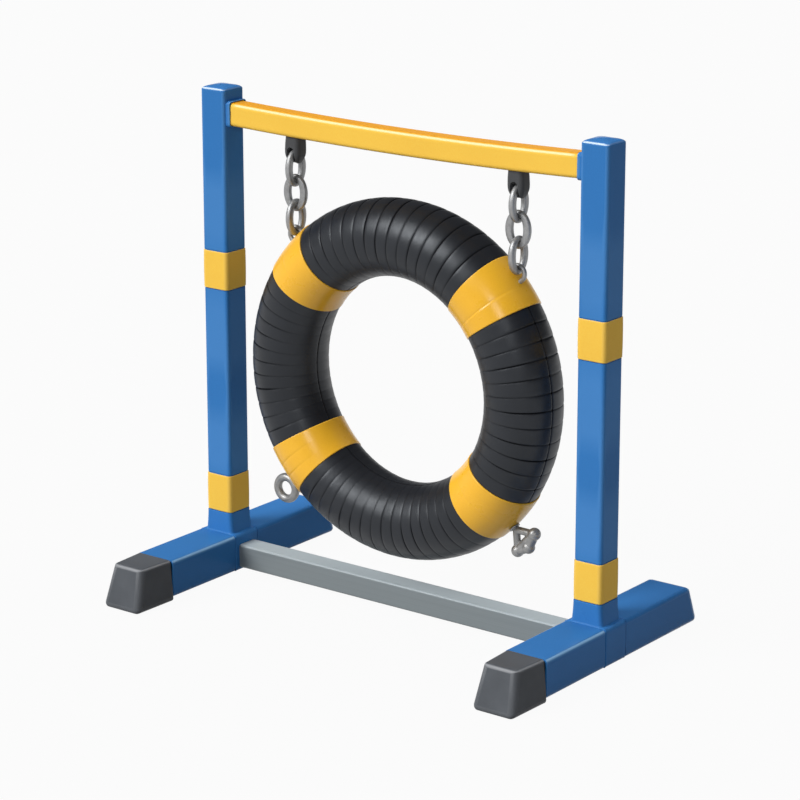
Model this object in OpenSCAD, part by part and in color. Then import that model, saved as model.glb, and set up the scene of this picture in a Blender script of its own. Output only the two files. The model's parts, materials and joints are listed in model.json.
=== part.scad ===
// Agility tyre jump: two posts on feet, a bowed crossbar and a ribbed ring hung on two short chains.
// X runs along the crossbar, the front of the jump faces -Y, Z is up and the ground is Z = 0. Millimetres.
// The pieces are drawn about the posts' centre line and set down with the middle of the feet at the origin.

/* [Posts] */
// Gap between the ring and a post
side_gap = 54; // [40:1:80]
// Outside width of the square post tube
post_w = 50; // [46:1:54]
// Wall of the post tube
post_wall = 2.5; // [2:0.1:4]
// Outside corner radius of the post tube
post_corner = 6; // [5:0.5:8]
// Height of the post caps above the middle of the crossbar
post_rise = 54; // [48:0.5:90]
// Height of the rounded crown of a post cap
cap_crown = 6; // [4:0.5:8]
// Depth of the plug of a post cap inside the tube
cap_plug = 20; // [12:1:30]

/* [Bands] */
// Height of a yellow band on a post
band_h = 68; // [50:1:76]
// Thickness of a yellow band
band_t = 1.2; // [0.8:0.1:1.6]
// Height of the lower edge of the upper bands
upper_band_z = 516; // [440:2:620]
// Gap between a hub's collar and the band above it
band_gap = 0.5; // [0.2:0.1:2]

/* [Crossbar] */
// Outside width of the square crossbar
bar_w = 40; // [34:0.5:46]
// Wall of the crossbar
bar_wall = 2; // [1.6:0.1:3]
// Outside corner radius of the crossbar
bar_corner = 6; // [4:0.5:7]
// Radius of the crossbar's bow under the ring
bar_r = 9300; // [7000:100:14000]
// Wall of the cups round the crossbar
cup_wall = 4.4; // [3:0.1:6]
// Length of a cup along the crossbar
cup_l = 10; // [8:0.5:14]
// Floor of a cup against the post
cup_floor = 3; // [2:0.1:4]

/* [Hangers] */
// Width of each ear of a hanger beside its slot
lug_ear = 6; // [4:0.5:8]
// Thickness of a hanger across the crossbar
lug_d = 24; // [20:0.5:28]
// Depth of a hanger between the crossbar and its slot
lug_neck = 18; // [14:0.5:26]
// Diameter of the cross pin at the foot of a hanger
lug_pin_d = 12; // [10:0.5:14]
// Room in the slot on each side of the first link
slot_side = 2; // [1:0.1:3]
// Room in the slot above the first link
slot_room = 4.5; // [3:0.1:8]

/* [Chain] */
// Diameter of the chain's wire
wire_d = 11; // [9:0.5:13]
// Outside length of a link
link_l = 65; // [58:0.5:76]
// Outside width of a link
link_w = 46; // [44:0.5:54]
// Play between two links
chain_play = 0.5; // [0.4:0.1:0.8]

/* [Ring] */
// Gap between the stretcher and the ring above it
ring_gap = 46.4; // [20:0.2:120]
// Radius of the ring at the middle of its tube
ring_r = 244; // [200:1:300]
// Outside radius of the black hose
hose_r = 65.5; // [55:0.5:76]
// Wall of the hose
hose_wall = 4; // [3:0.5:5]
// Depth of the grooves between the hose's ribs
groove_depth = 1.4; // [0.8:0.1:2]
// Width of a groove, in degrees round the ring
groove_span = 0.6; // [0.4:0.1:0.9]
// Distance between grooves, in degrees round the ring
rib_pitch = 5.2; // [4.5:0.1:7]
// Height of the yellow couplers above the hose
coupler_proud = 1.5; // [0.8:0.1:3]
// Wall of a coupler between the hose ends
coupler_wall = 10; // [9:0.5:12]
// Angle of the couplers above and below the horizontal, in degrees
coupler_angle = 43.5; // [41:0.5:46]
// Length of a coupler that shows, in degrees round the ring
coupler_span = 20; // [18:0.5:23]
// Length of a coupler's spigot inside a hose, in degrees round the ring
spigot_span = 6; // [4:0.5:8]

/* [Anchors] */
// Diameter of the staples' and tie eyes' threaded legs
stud_d = 8; // [7:0.5:8.5]
// Bend radius of a staple at the wire's centre
staple_r = 13; // [12:0.1:15]
// Gap between the last link and the coupler
staple_gap = 2.2; // [1.5:0.1:5]
// Diameter of the wire of the tie ring and of the tie triangle
tie_d = 11; // [9:0.5:12]
// Radius of the tie ring at the wire's centre
tie_ring_r = 17.5; // [16:0.5:20]
// Distance of the tie ring's centre from the coupler
tie_ring_reach = 41; // [36:0.5:46]
// Distance of the tie triangle's outer bar from the coupler
tie_bar_reach = 32; // [30:0.5:38]
// Half length of the tie triangle's outer bar
tie_bar_half = 22; // [19:0.5:25]
// Diameter of the round corners of the tie triangle
tie_lobe_d = 16; // [13:0.5:18]

/* [Feet] */
// Width of a foot tube
leg_w = 80; // [76:1:86]
// Height of a foot tube
leg_h = 64; // [62:1:68]
// Corner radius of a foot tube
leg_corner = 9; // [7:0.5:10]
// Wall of a foot tube
leg_wall = 3; // [2.5:0.1:4]
// Height of the foot tubes above the ground
leg_clear = 10; // [8:0.5:12]
// Reach of the front feet from the posts' centre line
front_reach = 292; // [250:2:350]
// Length of a rubber toe beyond the front tube
toe_l = 95; // [85:1:105]
// Reach of the rear feet from the posts' centre line
rear_reach = 264; // [220:2:320]
// Wall of a hub in front of and behind the post
hub_wall = 5; // [4:0.5:9]
// Height of a hub's collar above the foot
collar_h = 36.5; // [28:0.5:50]
// Spread of a collar towards its base on each side
collar_flare = 6; // [4:0.5:8]
// Length of a hub's spigot inside a foot tube
spigot_l = 36; // [30:1:42]

/* [Stretcher] */
// Outside width of the square stretcher
rail_w = 42; // [40:0.5:44]
// Wall of the stretcher
rail_wall = 2; // [1.6:0.1:3]
// Corner radius of the stretcher
rail_corner = 4; // [3:0.5:6]
// Floor of a hub under the stretcher
rail_floor = 4.5; // [3:0.5:8]
// Web of a hub between the stretcher and the post
rail_web = 4.5; // [3:0.5:8]
// Depth of the stretcher's seat in a hub
rail_in = 11; // [9:0.5:16]

/* [Hidden] */
$fn = 48;
corner_steps = 48;
// running clearance between pieces that push together
slip = 0.25;
// overrun of every cut past the face it leaves
over = 1;
// thin gap that keeps neighbours apart
hair = 0.05;
half_turn = 180;
quarter_turn = 90;

coupler_r = hose_r + coupler_proud;
crown = ring_r + coupler_r;
post_half = post_w / 2;
post_x = crown + side_gap + post_half;
hub_proud = 1;
hub_l = post_w + 2 * hub_wall;
hub_w = max(leg_w + 2 * hub_proud, post_w + 2 * (rail_web + rail_in + 2 * slip));
hub_h = leg_h + 2 * hub_proud;
hub_z0 = leg_clear - hub_proud;
hub_z1 = hub_z0 + hub_h;
hub_floor = 5;
post_z0 = hub_z0 + hub_floor;
leg_mid_z = leg_clear + leg_h / 2;
leg_top_z = leg_clear + leg_h;
collar_top = hub_z1 + collar_h;
lower_band_z = collar_top + band_gap;

// the collar shares its sides with the band above it
collar_w = post_w + 2 * (slip + band_t);
collar_straight = 12;
collar_base_x = collar_w + 2 * collar_flare;
collar_base_y = min(collar_w + 2 * band_t, hub_l - 2 * slip);

// stretcher ends inside the hubs
rail_z = hub_z0 + rail_floor + rail_w / 2;
rail_half = post_x - hub_w / 2 + rail_in;
rail_screw_x = rail_half - rail_in / 2;

// ring above the stretcher, its couplers and the staples that carry them
tyre_z = rail_z + rail_w / 2 + ring_gap + crown;
coupler_bore = coupler_r - coupler_wall;
spigot_r = hose_r - hose_wall - slip;
link_rise = staple_r - stud_d / 2 - chain_play - wire_d / 2;
staple_h = wire_d / 2 + staple_gap - link_rise * sin(coupler_angle);
staple_c = crown + staple_h;
hanger_x = staple_c * cos(coupler_angle);
staple_top = tyre_z + staple_c * sin(coupler_angle) + staple_r;

// chain of three links, from the staple up to the hanger's pin
link_c = link_l - wire_d;
link_half_l = link_c / 2;
link_half_w = (link_w - wire_d) / 2;
link_a = link_half_l - link_half_w;
link_step = link_c - wire_d - chain_play;
link3_top = staple_top - stud_d / 2 - chain_play - wire_d / 2 + link_c;
link2_top = link3_top + link_step;
link1_top = link2_top + link_step;
pin_z = link1_top - wire_d / 2 - chain_play - lug_pin_d / 2;

// hanger turned square to the bowed bar, with its pin at hanger_x
lug_top = bar_w / 2;
lug_slot_w = wire_d + 2 * slot_side;
lug_slot_h = lug_pin_d / 2 + chain_play + wire_d + slot_room;
lug_w = lug_slot_w + 2 * lug_ear;
lug_drop = lug_top + lug_neck + lug_slot_h;
lug_corner = 6;
lug_a = asin(hanger_x / (bar_r + lug_drop));

// crossbar as an arc above the hangers with its lowest point at the middle
bar_mid_z = pin_z + (bar_r + lug_drop) * cos(lug_a) - bar_r;
bar_reach = post_x - post_half - cup_floor;
bar_end_gap = slip + bar_w / 2 * bar_reach / bar_r;
bar_half = bar_reach - bar_end_gap;
bar_a = asin(bar_half / bar_r);
bar_z = bar_mid_z + bar_r * (1 - cos(bar_a));
bar_steps = 36;
cup_x0 = post_x - post_half - cup_l;
cup_clear = 0.6;
cup_w = bar_w + 2 * (cup_clear + cup_wall);
cup_corner = 5;
post_top = bar_mid_z + post_rise;
post_z1 = post_top - cap_crown;

// studs, washers and nuts inside the couplers
washer_d = 16;
washer_t = 1.6;
nut_af = 13;
nut_h = 6.5;
stud_clear = 0.2;
seat_r = sqrt(coupler_bore * coupler_bore - washer_d * washer_d / 4);
seat_w = staple_r + washer_d / 2;
washer_out = sqrt((ring_r + seat_r) * (ring_r + seat_r) - seat_w * seat_w) - hair;
washer_in = washer_out - washer_t;
nut_in = washer_in - hair - nut_h;
stud_end = nut_in - 2;
shoulder_d = 20;
shoulder_t = 3;

// screws
screw_d = 4.5;
screw_clear = 0.15;
screw_head_d = 9;
screw_head_h = 2.5;
base_screw_l = 11;
post_screw_l = 8;
cup_screw_l = 7;
cup_screw_y = bar_w / 4;
base_screw_y = hub_l / 2 + spigot_l / 2;
post_screw_z = collar_top - collar_straight / 2;
hang_screw_d = 6;
hang_head_d = 11;
hang_head_h = 4;
insert_d = 9;
insert_flange_d = 13;
insert_flange_h = 4;
insert_l = 14;

// toes, tails and pads
front_tube_end = front_reach - toe_l;
spigot_wall = 4;
toe_base_w = leg_w + 6;
toe_top_w = leg_w - 8;
toe_nose_w = leg_w - 12;
toe_lean = 22;
toe_round = 12;
toe_corner = 14;
toe_plug = 34;
tail_lean = 26;
tail_round = 14;
tail_corner = 18;
tail_wall = 10;
pad_w = 26;
pad_l = 62;
pad_corner = 6;
pad_inset = 34;
pad_peg_d = 8;
pad_peg_h = 9;

// middle of the feet, from the front of the toes to the end of the tails
toe_tip = round_centre([-front_reach + toe_lean, leg_top_z - 2 * hub_proud], [-front_reach, 0], [0, 0], hub_proud)[0]
    - hub_proud;
tail_tip = round_centre([0, leg_clear], [rear_reach, leg_clear], [rear_reach - tail_lean, leg_top_z], tail_round)[0]
    + tail_round;
home_y = -(toe_tip + tail_tip) / 2;

// Sub-part to draw

// outward normal of the edge from p to q of a shape that runs anticlockwise
function edge_normal(p, q) = let (d = (q - p) / norm(q - p)) [d[1], -d[0]];
// centre of the round at corner q
function round_centre(p, q, s, r) = let (a = edge_normal(p, q), b = edge_normal(q, s)) q - r * (a + b) / (1 + a * b);

// puts the finished pieces about the middle of the feet
module home() {
    translate([0, home_y, 0])
        children();
}

// anticlockwise shape with its own radius at each corner
module rounded_shape(pts, radii) {
    n = len(pts);
    function before(i) = pts[(i + n - 1) % n];
    function after(i) = pts[(i + 1) % n];
    polygon([for (i = [0:n - 1]) let (c = round_centre(before(i), pts[i], after(i), radii[i]))
        each [c + radii[i] * edge_normal(before(i), pts[i]), c + radii[i] * edge_normal(pts[i], after(i))]]);
    for (i = [0:n - 1])
        if (radii[i] > 0)
            translate(round_centre(before(i), pts[i], after(i), radii[i]))
                circle(r = radii[i], $fn = corner_steps);
}

// rounded rectangle about the origin
module rounded_box(w, h, r) {
    rounded_shape([[-w / 2, -h / 2], [w / 2, -h / 2], [w / 2, h / 2], [-w / 2, h / 2]], [r, r, r, r]);
}

// rounded square tube section
module tube_section(w, h, r, wall) {
    difference() {
        rounded_box(w, h, r);
        rounded_box(w - 2 * wall, h - 2 * wall, r - wall);
    }
}

// stands children's X-Y drawing up so that it runs along Y from y0 to y1
module along_y(y0, y1) {
    translate([0, y1, 0])
        rotate([quarter_turn, 0, 0])
            linear_extrude(height = y1 - y0)
                children();
}

// stands children's drawing, with its X as Y and its Y as Z, along X from x0 to x1
module along_x(x0, x1) {
    translate([x0, 0, 0])
        rotate([quarter_turn, 0, quarter_turn])
            linear_extrude(height = x1 - x0)
                children();
}

// frame on the ring with X radial, Y across and Z round the ring
module on_ring(a) {
    translate([0, 0, tyre_z])
        rotate([0, -a, 0])
            children();
}

// length of tube on the ring from angle a over span
module ring_tube(a, span, ro, ri) {
    on_ring(a)
        rotate([quarter_turn, 0, 0])
            rotate_extrude(angle = span)
                translate([ring_r, 0])
                    difference() {
                        circle(r = ro);
                        circle(r = ri);
                    }
}

// radial cylinder on the ring at round offset w, from radius x0 to x1
module radial(x0, x1, w, d) {
    translate([x0, 0, w])
        rotate([0, quarter_turn, 0])
            cylinder(d = d, h = x1 - x0);
}

// frame on the crossbar at the right hanger, Z along the bar's own upright
module on_bar() {
    translate([bar_r * sin(lug_a), 0, bar_mid_z + bar_r * (1 - cos(lug_a))])
        rotate([0, -lug_a, 0])
            children();
}

// pan head screw with its seat at Z = 0 and its point upward
module screw(l) {
    translate([0, 0, -screw_head_h])
        cylinder(d = screw_head_d, h = screw_head_h);
    translate([0, 0, -over])
        cylinder(d = screw_d, h = l + over);
}

module screw_hole(l) {
    translate([0, 0, -over])
        cylinder(d = screw_d + 2 * screw_clear, h = l + 2 * over);
}

// places of the screws
module at_base_screws(s) {
    for (e = [-1, 1])
        translate([s * post_x, e * base_screw_y, leg_clear])
            children();
}

module at_rail_screw(s) {
    translate([s * rail_screw_x, 0, hub_z0])
        children();
}

module at_post_screw(s) {
    translate([s * post_x, collar_w / 2, post_screw_z])
        rotate([quarter_turn, 0, 0])
            children();
}

module at_cup_screws(s) {
    for (e = [-1, 1])
        translate([s * (post_x - post_half - cup_floor), e * cup_screw_y, bar_z])
            rotate([0, s * quarter_turn, 0])
                children();
}

module post_tube(s) {
    color([0.16, 0.38, 0.68])
        difference() {
            translate([s * post_x, 0, post_z0])
                linear_extrude(height = post_z1 - post_z0)
                    tube_section(post_w, post_w, post_corner, post_wall);
            at_post_screw(s)
                screw_hole(post_screw_l);
            at_cup_screws(s)
                screw_hole(cup_screw_l);
        }
}

module post_cap(s) {
    plug_w = post_w - 2 * post_wall - 2 * slip;
    color([0.16, 0.38, 0.68])
        translate([s * post_x, 0, 0]) {
            intersection() {
                translate([0, 0, post_z1])
                    linear_extrude(height = cap_crown)
                        rounded_box(post_w, post_w, post_corner);
                along_y(-post_half, post_half)
                    cap_side();
                along_x(-post_half, post_half)
                    cap_side();
            }
            translate([0, 0, post_z1 - cap_plug])
                linear_extrude(height = cap_plug + hair)
                    rounded_box(plug_w, plug_w, post_corner - post_wall);
        }
}

// side view of a post cap's crown
module cap_side() {
    crown_r = cap_crown - over;
    rounded_shape(
        [[-post_half, post_z1 - over], [post_half, post_z1 - over], [post_half, post_top], [-post_half, post_top]],
        [0, 0, crown_r, crown_r]);
}

module band(s, z) {
    w = post_w + 2 * slip;
    color([0.95, 0.72, 0.2])
        translate([s * post_x, 0, z])
            linear_extrude(height = band_h)
                tube_section(w + 2 * band_t, w + 2 * band_t, post_corner + slip + band_t, band_t);
}

module crossbar() {
    color([0.98, 0.74, 0.22])
        difference() {
            translate([0, 0, bar_mid_z])
                translate([0, 0, bar_r])
                    rotate([quarter_turn, 0, 0])
                        rotate([0, 0, -quarter_turn - bar_a])
                            rotate_extrude(angle = 2 * bar_a, $fn = bar_steps * half_turn / bar_a)
                                translate([bar_r, 0])
                                    tube_section(bar_w, bar_w, bar_corner, bar_wall);
            for (s = [0, 1])
                mirror([s, 0, 0])
                    on_bar()
                        translate([0, 0, -bar_w / 2 - over])
                            cylinder(d = insert_d + 2 * screw_clear, h = bar_wall + 2 * over);
        }
}

module bar_cup(s) {
    room = bar_w + 2 * cup_clear;
    color([0.15, 0.36, 0.65])
        difference() {
            intersection() {
                along_x(s > 0 ? cup_x0 : -cup_x0 - cup_l, s > 0 ? cup_x0 + cup_l : -cup_x0)
                    translate([0, bar_z])
                        rounded_box(cup_w, cup_w, cup_corner);
                along_y(-cup_w, cup_w)
                    cup_side(s);
            }
            along_x(s > 0 ? cup_x0 - over : -cup_x0 - cup_l + cup_floor,
                s > 0 ? cup_x0 + cup_l - cup_floor : -cup_x0 + over)
                translate([0, bar_z])
                    rounded_box(room, room, bar_corner);
            at_cup_screws(s)
                screw_hole(cup_screw_l);
        }
}

// front view of a cup, with its free corners eased
module cup_side(s) {
    ease = cup_l / 4;
    mirror([s > 0 ? 0 : 1, 0])
        polygon([[cup_x0 + cup_l, bar_z - cup_w], [cup_x0 + cup_l, bar_z + cup_w],
            [cup_x0 + ease, bar_z + cup_w / 2], [cup_x0, bar_z + cup_w / 2 - ease],
            [cup_x0, bar_z - cup_w / 2 + ease], [cup_x0 + ease, bar_z - cup_w / 2]]);
}

module cup_screws() {
    color([0.7, 0.71, 0.72])
        for (s = [-1, 1])
            at_cup_screws(s)
                screw(cup_screw_l);
}

// hanger for the right side, hung square to the bowed bar
module hanger_shape() {
    foot = lug_drop + lug_pin_d / 2;
    slot_top = lug_drop - lug_slot_h;
    color([0.23, 0.23, 0.24])
        on_bar() {
            difference() {
                intersection() {
                    along_y(-lug_d / 2, lug_d / 2)
                        rounded_shape([[-lug_w / 2, -foot], [lug_w / 2, -foot],
                            [lug_w / 2, -lug_top], [-lug_w / 2, -lug_top]],
                            [lug_corner, lug_corner, 0, 0]);
                    along_x(-lug_w / 2, lug_w / 2)
                        rounded_shape([[-lug_pin_d / 2, -foot], [lug_pin_d / 2, -foot],
                            [lug_d / 2, -lug_drop + lug_pin_d], [lug_d / 2, -lug_top],
                            [-lug_d / 2, -lug_top], [-lug_d / 2, -lug_drop + lug_pin_d]],
                            [lug_pin_d / 3, lug_pin_d / 3, lug_corner, 0, 0, lug_corner]);
                }
                along_y(-lug_d, lug_d)
                    rounded_shape([[-lug_slot_w / 2, -foot - over], [lug_slot_w / 2, -foot - over],
                        [lug_slot_w / 2, -slot_top], [-lug_slot_w / 2, -slot_top]],
                        [0, 0, lug_corner, lug_corner]);
                translate([0, 0, -slot_top - over])
                    cylinder(d = hang_head_d + 2 * screw_clear, h = hang_head_h + over);
                translate([0, 0, -slot_top])
                    cylinder(d = hang_screw_d + 2 * screw_clear, h = slot_top);
            }
            translate([-lug_slot_w / 2 - over, 0, -lug_drop])
                rotate([0, quarter_turn, 0])
                    cylinder(d = lug_pin_d, h = lug_slot_w + 2 * over);
        }
}

module hanger_screws() {
    seat = -lug_drop + lug_slot_h + hang_head_h;
    color([0.7, 0.71, 0.72])
        for (s = [0, 1])
            mirror([s, 0, 0])
                on_bar() {
                    translate([0, 0, seat - hang_head_h])
                        cylinder(d = hang_head_d, h = hang_head_h - hair);
                    translate([0, 0, seat - over])
                        cylinder(d = hang_screw_d, h = -seat - bar_w / 2 + insert_l);
                }
}

module hanger_inserts() {
    color([0.75, 0.74, 0.7])
        for (s = [0, 1])
            mirror([s, 0, 0])
                on_bar()
                    difference() {
                        translate([0, 0, -bar_w / 2 + hair]) {
                            cylinder(d = insert_d, h = insert_l);
                            translate([0, 0, bar_wall])
                                cylinder(d = insert_flange_d, h = insert_flange_h);
                        }
                        translate([0, 0, -bar_w / 2 - over])
                            cylinder(d = hang_screw_d + 2 * screw_clear, h = insert_l + 3 * over);
                    }
}

module stretcher() {
    color([0.6, 0.63, 0.66])
        difference() {
            along_x(-rail_half, rail_half)
                translate([0, rail_z])
                    tube_section(rail_w, rail_w, rail_corner, rail_wall);
            for (s = [-1, 1])
                at_rail_screw(s)
                    screw_hole(base_screw_l);
        }
}

// moulded tee that joins a post, two foot tubes and the stretcher
module hub(s) {
    spigot_w = leg_w - 2 * leg_wall - 2 * slip;
    spigot_h = leg_h - 2 * leg_wall - 2 * slip;
    spigot_r1 = leg_corner - leg_wall;
    socket = post_w + 2 * slip;
    rail_room = rail_w + 2 * slip;
    rail_edge = hub_w / 2 - rail_in - slip;
    slab = 0.5;
    color([0.15, 0.36, 0.65])
        difference() {
            translate([s * post_x, 0, 0]) {
                along_y(-hub_l / 2, hub_l / 2)
                    translate([0, leg_mid_z])
                        rounded_box(hub_w, hub_h, leg_corner + hub_proud);
                along_y(-hub_l / 2 - spigot_l, hub_l / 2 + spigot_l)
                    translate([0, leg_mid_z])
                        rounded_box(spigot_w, spigot_h, spigot_r1);
                translate([0, 0, hub_z1 - leg_corner])
                    linear_extrude(height = leg_corner)
                        rounded_box(collar_base_x, collar_base_y, leg_corner);
                hull() {
                    translate([0, 0, hub_z1 - slab])
                        linear_extrude(height = slab)
                            rounded_box(collar_base_x, collar_base_y, leg_corner);
                    translate([0, 0, collar_top - collar_straight])
                        linear_extrude(height = slab)
                            rounded_box(collar_w, collar_w, post_corner + slip + band_t);
                }
                translate([0, 0, collar_top - collar_straight])
                    linear_extrude(height = collar_straight)
                        rounded_box(collar_w, collar_w, post_corner + slip + band_t);
            }
            // post socket
            translate([s * post_x, 0, post_z0])
                linear_extrude(height = collar_top)
                    rounded_box(socket, socket, post_corner + slip);
            // hollows of the two spigots
            for (e = [-1, 1])
                translate([s * post_x, 0, 0])
                    along_y(e > 0 ? hub_l / 2 : -hub_l / 2 - spigot_l - over,
                        e > 0 ? hub_l / 2 + spigot_l + over : -hub_l / 2)
                        translate([0, leg_mid_z])
                            rounded_box(spigot_w - 2 * spigot_wall, spigot_h - 2 * spigot_wall, spigot_r1);
            // socket for the stretcher on the inner side
            along_x(s > 0 ? post_x - hub_w / 2 - over : -post_x + rail_edge,
                s > 0 ? post_x - rail_edge : -post_x + hub_w / 2 + over)
                translate([0, rail_z])
                    rounded_box(rail_room, rail_room, rail_corner);
            at_base_screws(s)
                screw_hole(base_screw_l);
            at_rail_screw(s)
                screw_hole(base_screw_l);
            at_post_screw(s)
                screw_hole(post_screw_l);
        }
}

module front_leg(s) {
    color([0.16, 0.38, 0.68])
        difference() {
            translate([s * post_x, 0, leg_mid_z])
                along_y(-front_tube_end, -hub_l / 2 - slip)
                    tube_section(leg_w, leg_h, leg_corner, leg_wall);
            at_base_screws(s)
                screw_hole(base_screw_l);
        }
}

// rear tube with its end moulded shut, sloped and rounded
module rear_leg(s) {
    y0 = hub_l / 2 + slip;
    room_end = rear_reach - tail_lean - tail_wall - leg_corner;
    color([0.16, 0.38, 0.68])
        difference() {
            translate([s * post_x, 0, 0])
                difference() {
                    intersection() {
                        along_y(y0, rear_reach)
                            translate([0, leg_mid_z])
                                rounded_box(leg_w, leg_h, leg_corner);
                        along_x(-leg_w, leg_w)
                            rounded_shape([[y0 - over, leg_clear], [rear_reach, leg_clear],
                                [rear_reach - tail_lean, leg_top_z], [y0 - over, leg_top_z]],
                                [0, tail_round, tail_round, 0]);
                        linear_extrude(height = leg_top_z)
                            rounded_shape([[-leg_w / 2, y0 - over], [leg_w / 2, y0 - over],
                                [leg_w / 2, rear_reach], [-leg_w / 2, rear_reach]],
                                [0, 0, tail_corner, tail_corner]);
                    }
                    along_y(y0 - over, room_end)
                        translate([0, leg_mid_z])
                            rounded_box(leg_w - 2 * leg_wall, leg_h - 2 * leg_wall, leg_corner - leg_wall);
                    translate([0, rear_reach - pad_inset - pad_l / 2, leg_clear - over])
                        cylinder(d = pad_peg_d + 2 * screw_clear, h = pad_peg_h + 2 * over);
                }
            at_base_screws(s)
                screw_hole(base_screw_l);
        }
}

// rubber toe, wider and lower than the tube it plugs into
module toe(s) {
    y1 = -front_tube_end - hair;
    plug_w = leg_w - 2 * leg_wall - 2 * slip;
    plug_h = leg_h - 2 * leg_wall - 2 * slip;
    color([0.3, 0.3, 0.31])
        translate([s * post_x, 0, 0]) {
            intersection() {
                along_y(-front_reach, y1)
                    rounded_shape([[-toe_base_w / 2, 0], [toe_base_w / 2, 0],
                        [toe_top_w / 2, leg_top_z + hub_proud], [-toe_top_w / 2, leg_top_z + hub_proud]],
                        [hub_proud, hub_proud, leg_corner, leg_corner]);
                along_x(-toe_base_w, toe_base_w)
                    rounded_shape([[-front_reach, 0], [y1, 0], [y1, leg_top_z + hub_proud],
                        [-front_reach + toe_lean, leg_top_z - 2 * hub_proud]],
                        [hub_proud, 0, 0, toe_round]);
                linear_extrude(height = leg_top_z + leg_clear)
                    rounded_shape([[-toe_nose_w / 2 - leg_corner, -front_reach], [toe_nose_w / 2 + leg_corner, -front_reach],
                        [toe_base_w / 2 + hub_proud, y1], [-toe_base_w / 2 - hub_proud, y1]],
                        [toe_corner, toe_corner, 0, 0]);
            }
            along_y(y1 - over, y1 + toe_plug)
                translate([0, leg_mid_z])
                    rounded_box(plug_w, plug_h, leg_corner - leg_wall);
        }
}

module rear_pads() {
    color([0.2, 0.2, 0.21])
        for (s = [-1, 1])
            translate([s * post_x, rear_reach - pad_inset - pad_l / 2, 0]) {
                linear_extrude(height = leg_clear)
                    rounded_box(pad_w, pad_l, pad_corner);
                cylinder(d = pad_peg_d, h = leg_clear + pad_peg_h);
            }
}

module base_screws() {
    color([0.7, 0.71, 0.72])
        for (s = [-1, 1]) {
            at_base_screws(s)
                screw(base_screw_l);
            at_rail_screw(s)
                screw(base_screw_l);
        }
}

module post_screws() {
    color([0.7, 0.71, 0.72])
        for (s = [-1, 1])
            at_post_screw(s)
                screw(post_screw_l);
}

// chain link in the X-Z plane about its own middle
module link_oval() {
    for (e = [0, half_turn])
        rotate([0, e, 0]) {
            translate([0, 0, link_a])
                rotate([quarter_turn, 0, 0])
                    rotate_extrude(angle = half_turn)
                        translate([link_half_w, 0])
                            circle(d = wire_d);
            translate([link_half_w, 0, -link_a])
                cylinder(d = wire_d, h = 2 * link_a);
        }
}

// links 1 and 3 stand across the bar, link 2 along it
module link(s, top, across) {
    color([0.6, 0.6, 0.6])
        translate([s * hanger_x, 0, top - link_half_l])
            rotate([0, 0, across ? quarter_turn : 0])
                link_oval();
}

// black hose from angle a over span, with a groove between each two ribs
module hose(a, span) {
    n = round(span / rib_pitch);
    step = span / n;
    color([0.12, 0.12, 0.13])
        difference() {
            ring_tube(a, span, hose_r, hose_r - hose_wall);
            for (i = [1:n - 1])
                ring_tube(a + i * step - groove_span / 2, groove_span, hose_r + over, hose_r - groove_depth);
        }
}

// yellow coupler at angle a, with a bore for each stud at its round offset
module coupler(a, studs) {
    color([0.93, 0.69, 0.16])
        difference() {
            union() {
                ring_tube(a - coupler_span / 2, coupler_span, coupler_r, (coupler_bore + spigot_r) / 2);
                ring_tube(a - coupler_span / 2 - spigot_span, coupler_span + 2 * spigot_span, spigot_r, coupler_bore);
            }
            on_ring(a)
                for (w = studs)
                    radial(ring_r, crown + 2 * over, w, stud_d + 2 * stud_clear);
        }
}

// staple that the last link hangs on to, right side
module staple_shape() {
    color([0.62, 0.62, 0.62])
        on_ring(coupler_angle) {
            translate([staple_c, 0, 0])
                rotate([quarter_turn, 0, 0])
                    rotate([0, 0, -quarter_turn])
                        rotate_extrude(angle = half_turn)
                            translate([staple_r, 0])
                                circle(d = stud_d);
            for (e = [-1, 1])
                radial(stud_end, staple_c, e * staple_r, stud_d);
        }
}

// round tie eye at the lower left
module tie_ring() {
    color([0.62, 0.62, 0.6])
        on_ring(half_turn + coupler_angle) {
            translate([crown + tie_ring_reach, 0, 0])
                rotate([quarter_turn, 0, 0])
                    rotate_extrude()
                        translate([tie_ring_r, 0])
                            circle(d = tie_d);
            radial(crown + hair, crown + tie_ring_reach - tie_ring_r, 0, tie_d);
            radial(crown + hair, crown + shoulder_t, 0, shoulder_d);
            radial(stud_end, crown + over, 0, stud_d);
        }
}

// triangular tie eye with round corners at the lower right
module tie_triangle() {
    bar_x = crown + tie_bar_reach;
    apex_x = crown + tie_d / 2 + hair;
    lean = atan2(tie_bar_half, bar_x - apex_x);
    color([0.5, 0.5, 0.5])
        on_ring(-coupler_angle) {
            for (e = [-1, 1]) {
                translate([bar_x, 0, e * tie_bar_half])
                    sphere(d = tie_lobe_d);
                translate([apex_x, 0, 0])
                    rotate([0, quarter_turn - e * lean, 0])
                        cylinder(d = tie_d, h = norm([tie_bar_half, bar_x - apex_x]));
            }
            translate([bar_x, 0, -tie_bar_half])
                cylinder(d = tie_d, h = 2 * tie_bar_half);
            translate([apex_x, 0, 0])
                sphere(d = tie_d);
            radial(crown + hair, crown + shoulder_t, 0, shoulder_d);
            radial(stud_end, crown + over, 0, stud_d);
        }
}

// places of the studs inside the couplers
module at_studs() {
    for (a = [coupler_angle, half_turn - coupler_angle])
        for (e = [-1, 1])
            on_ring(a)
                translate([0, 0, e * staple_r])
                    children();
    for (a = [half_turn + coupler_angle, -coupler_angle])
        on_ring(a)
            children();
}

module stud_washers() {
    color([0.72, 0.72, 0.72])
        at_studs()
            difference() {
                radial(washer_in, washer_out, 0, washer_d);
                radial(washer_in - over, washer_out + over, 0, stud_d + 2 * stud_clear);
            }
}

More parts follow.
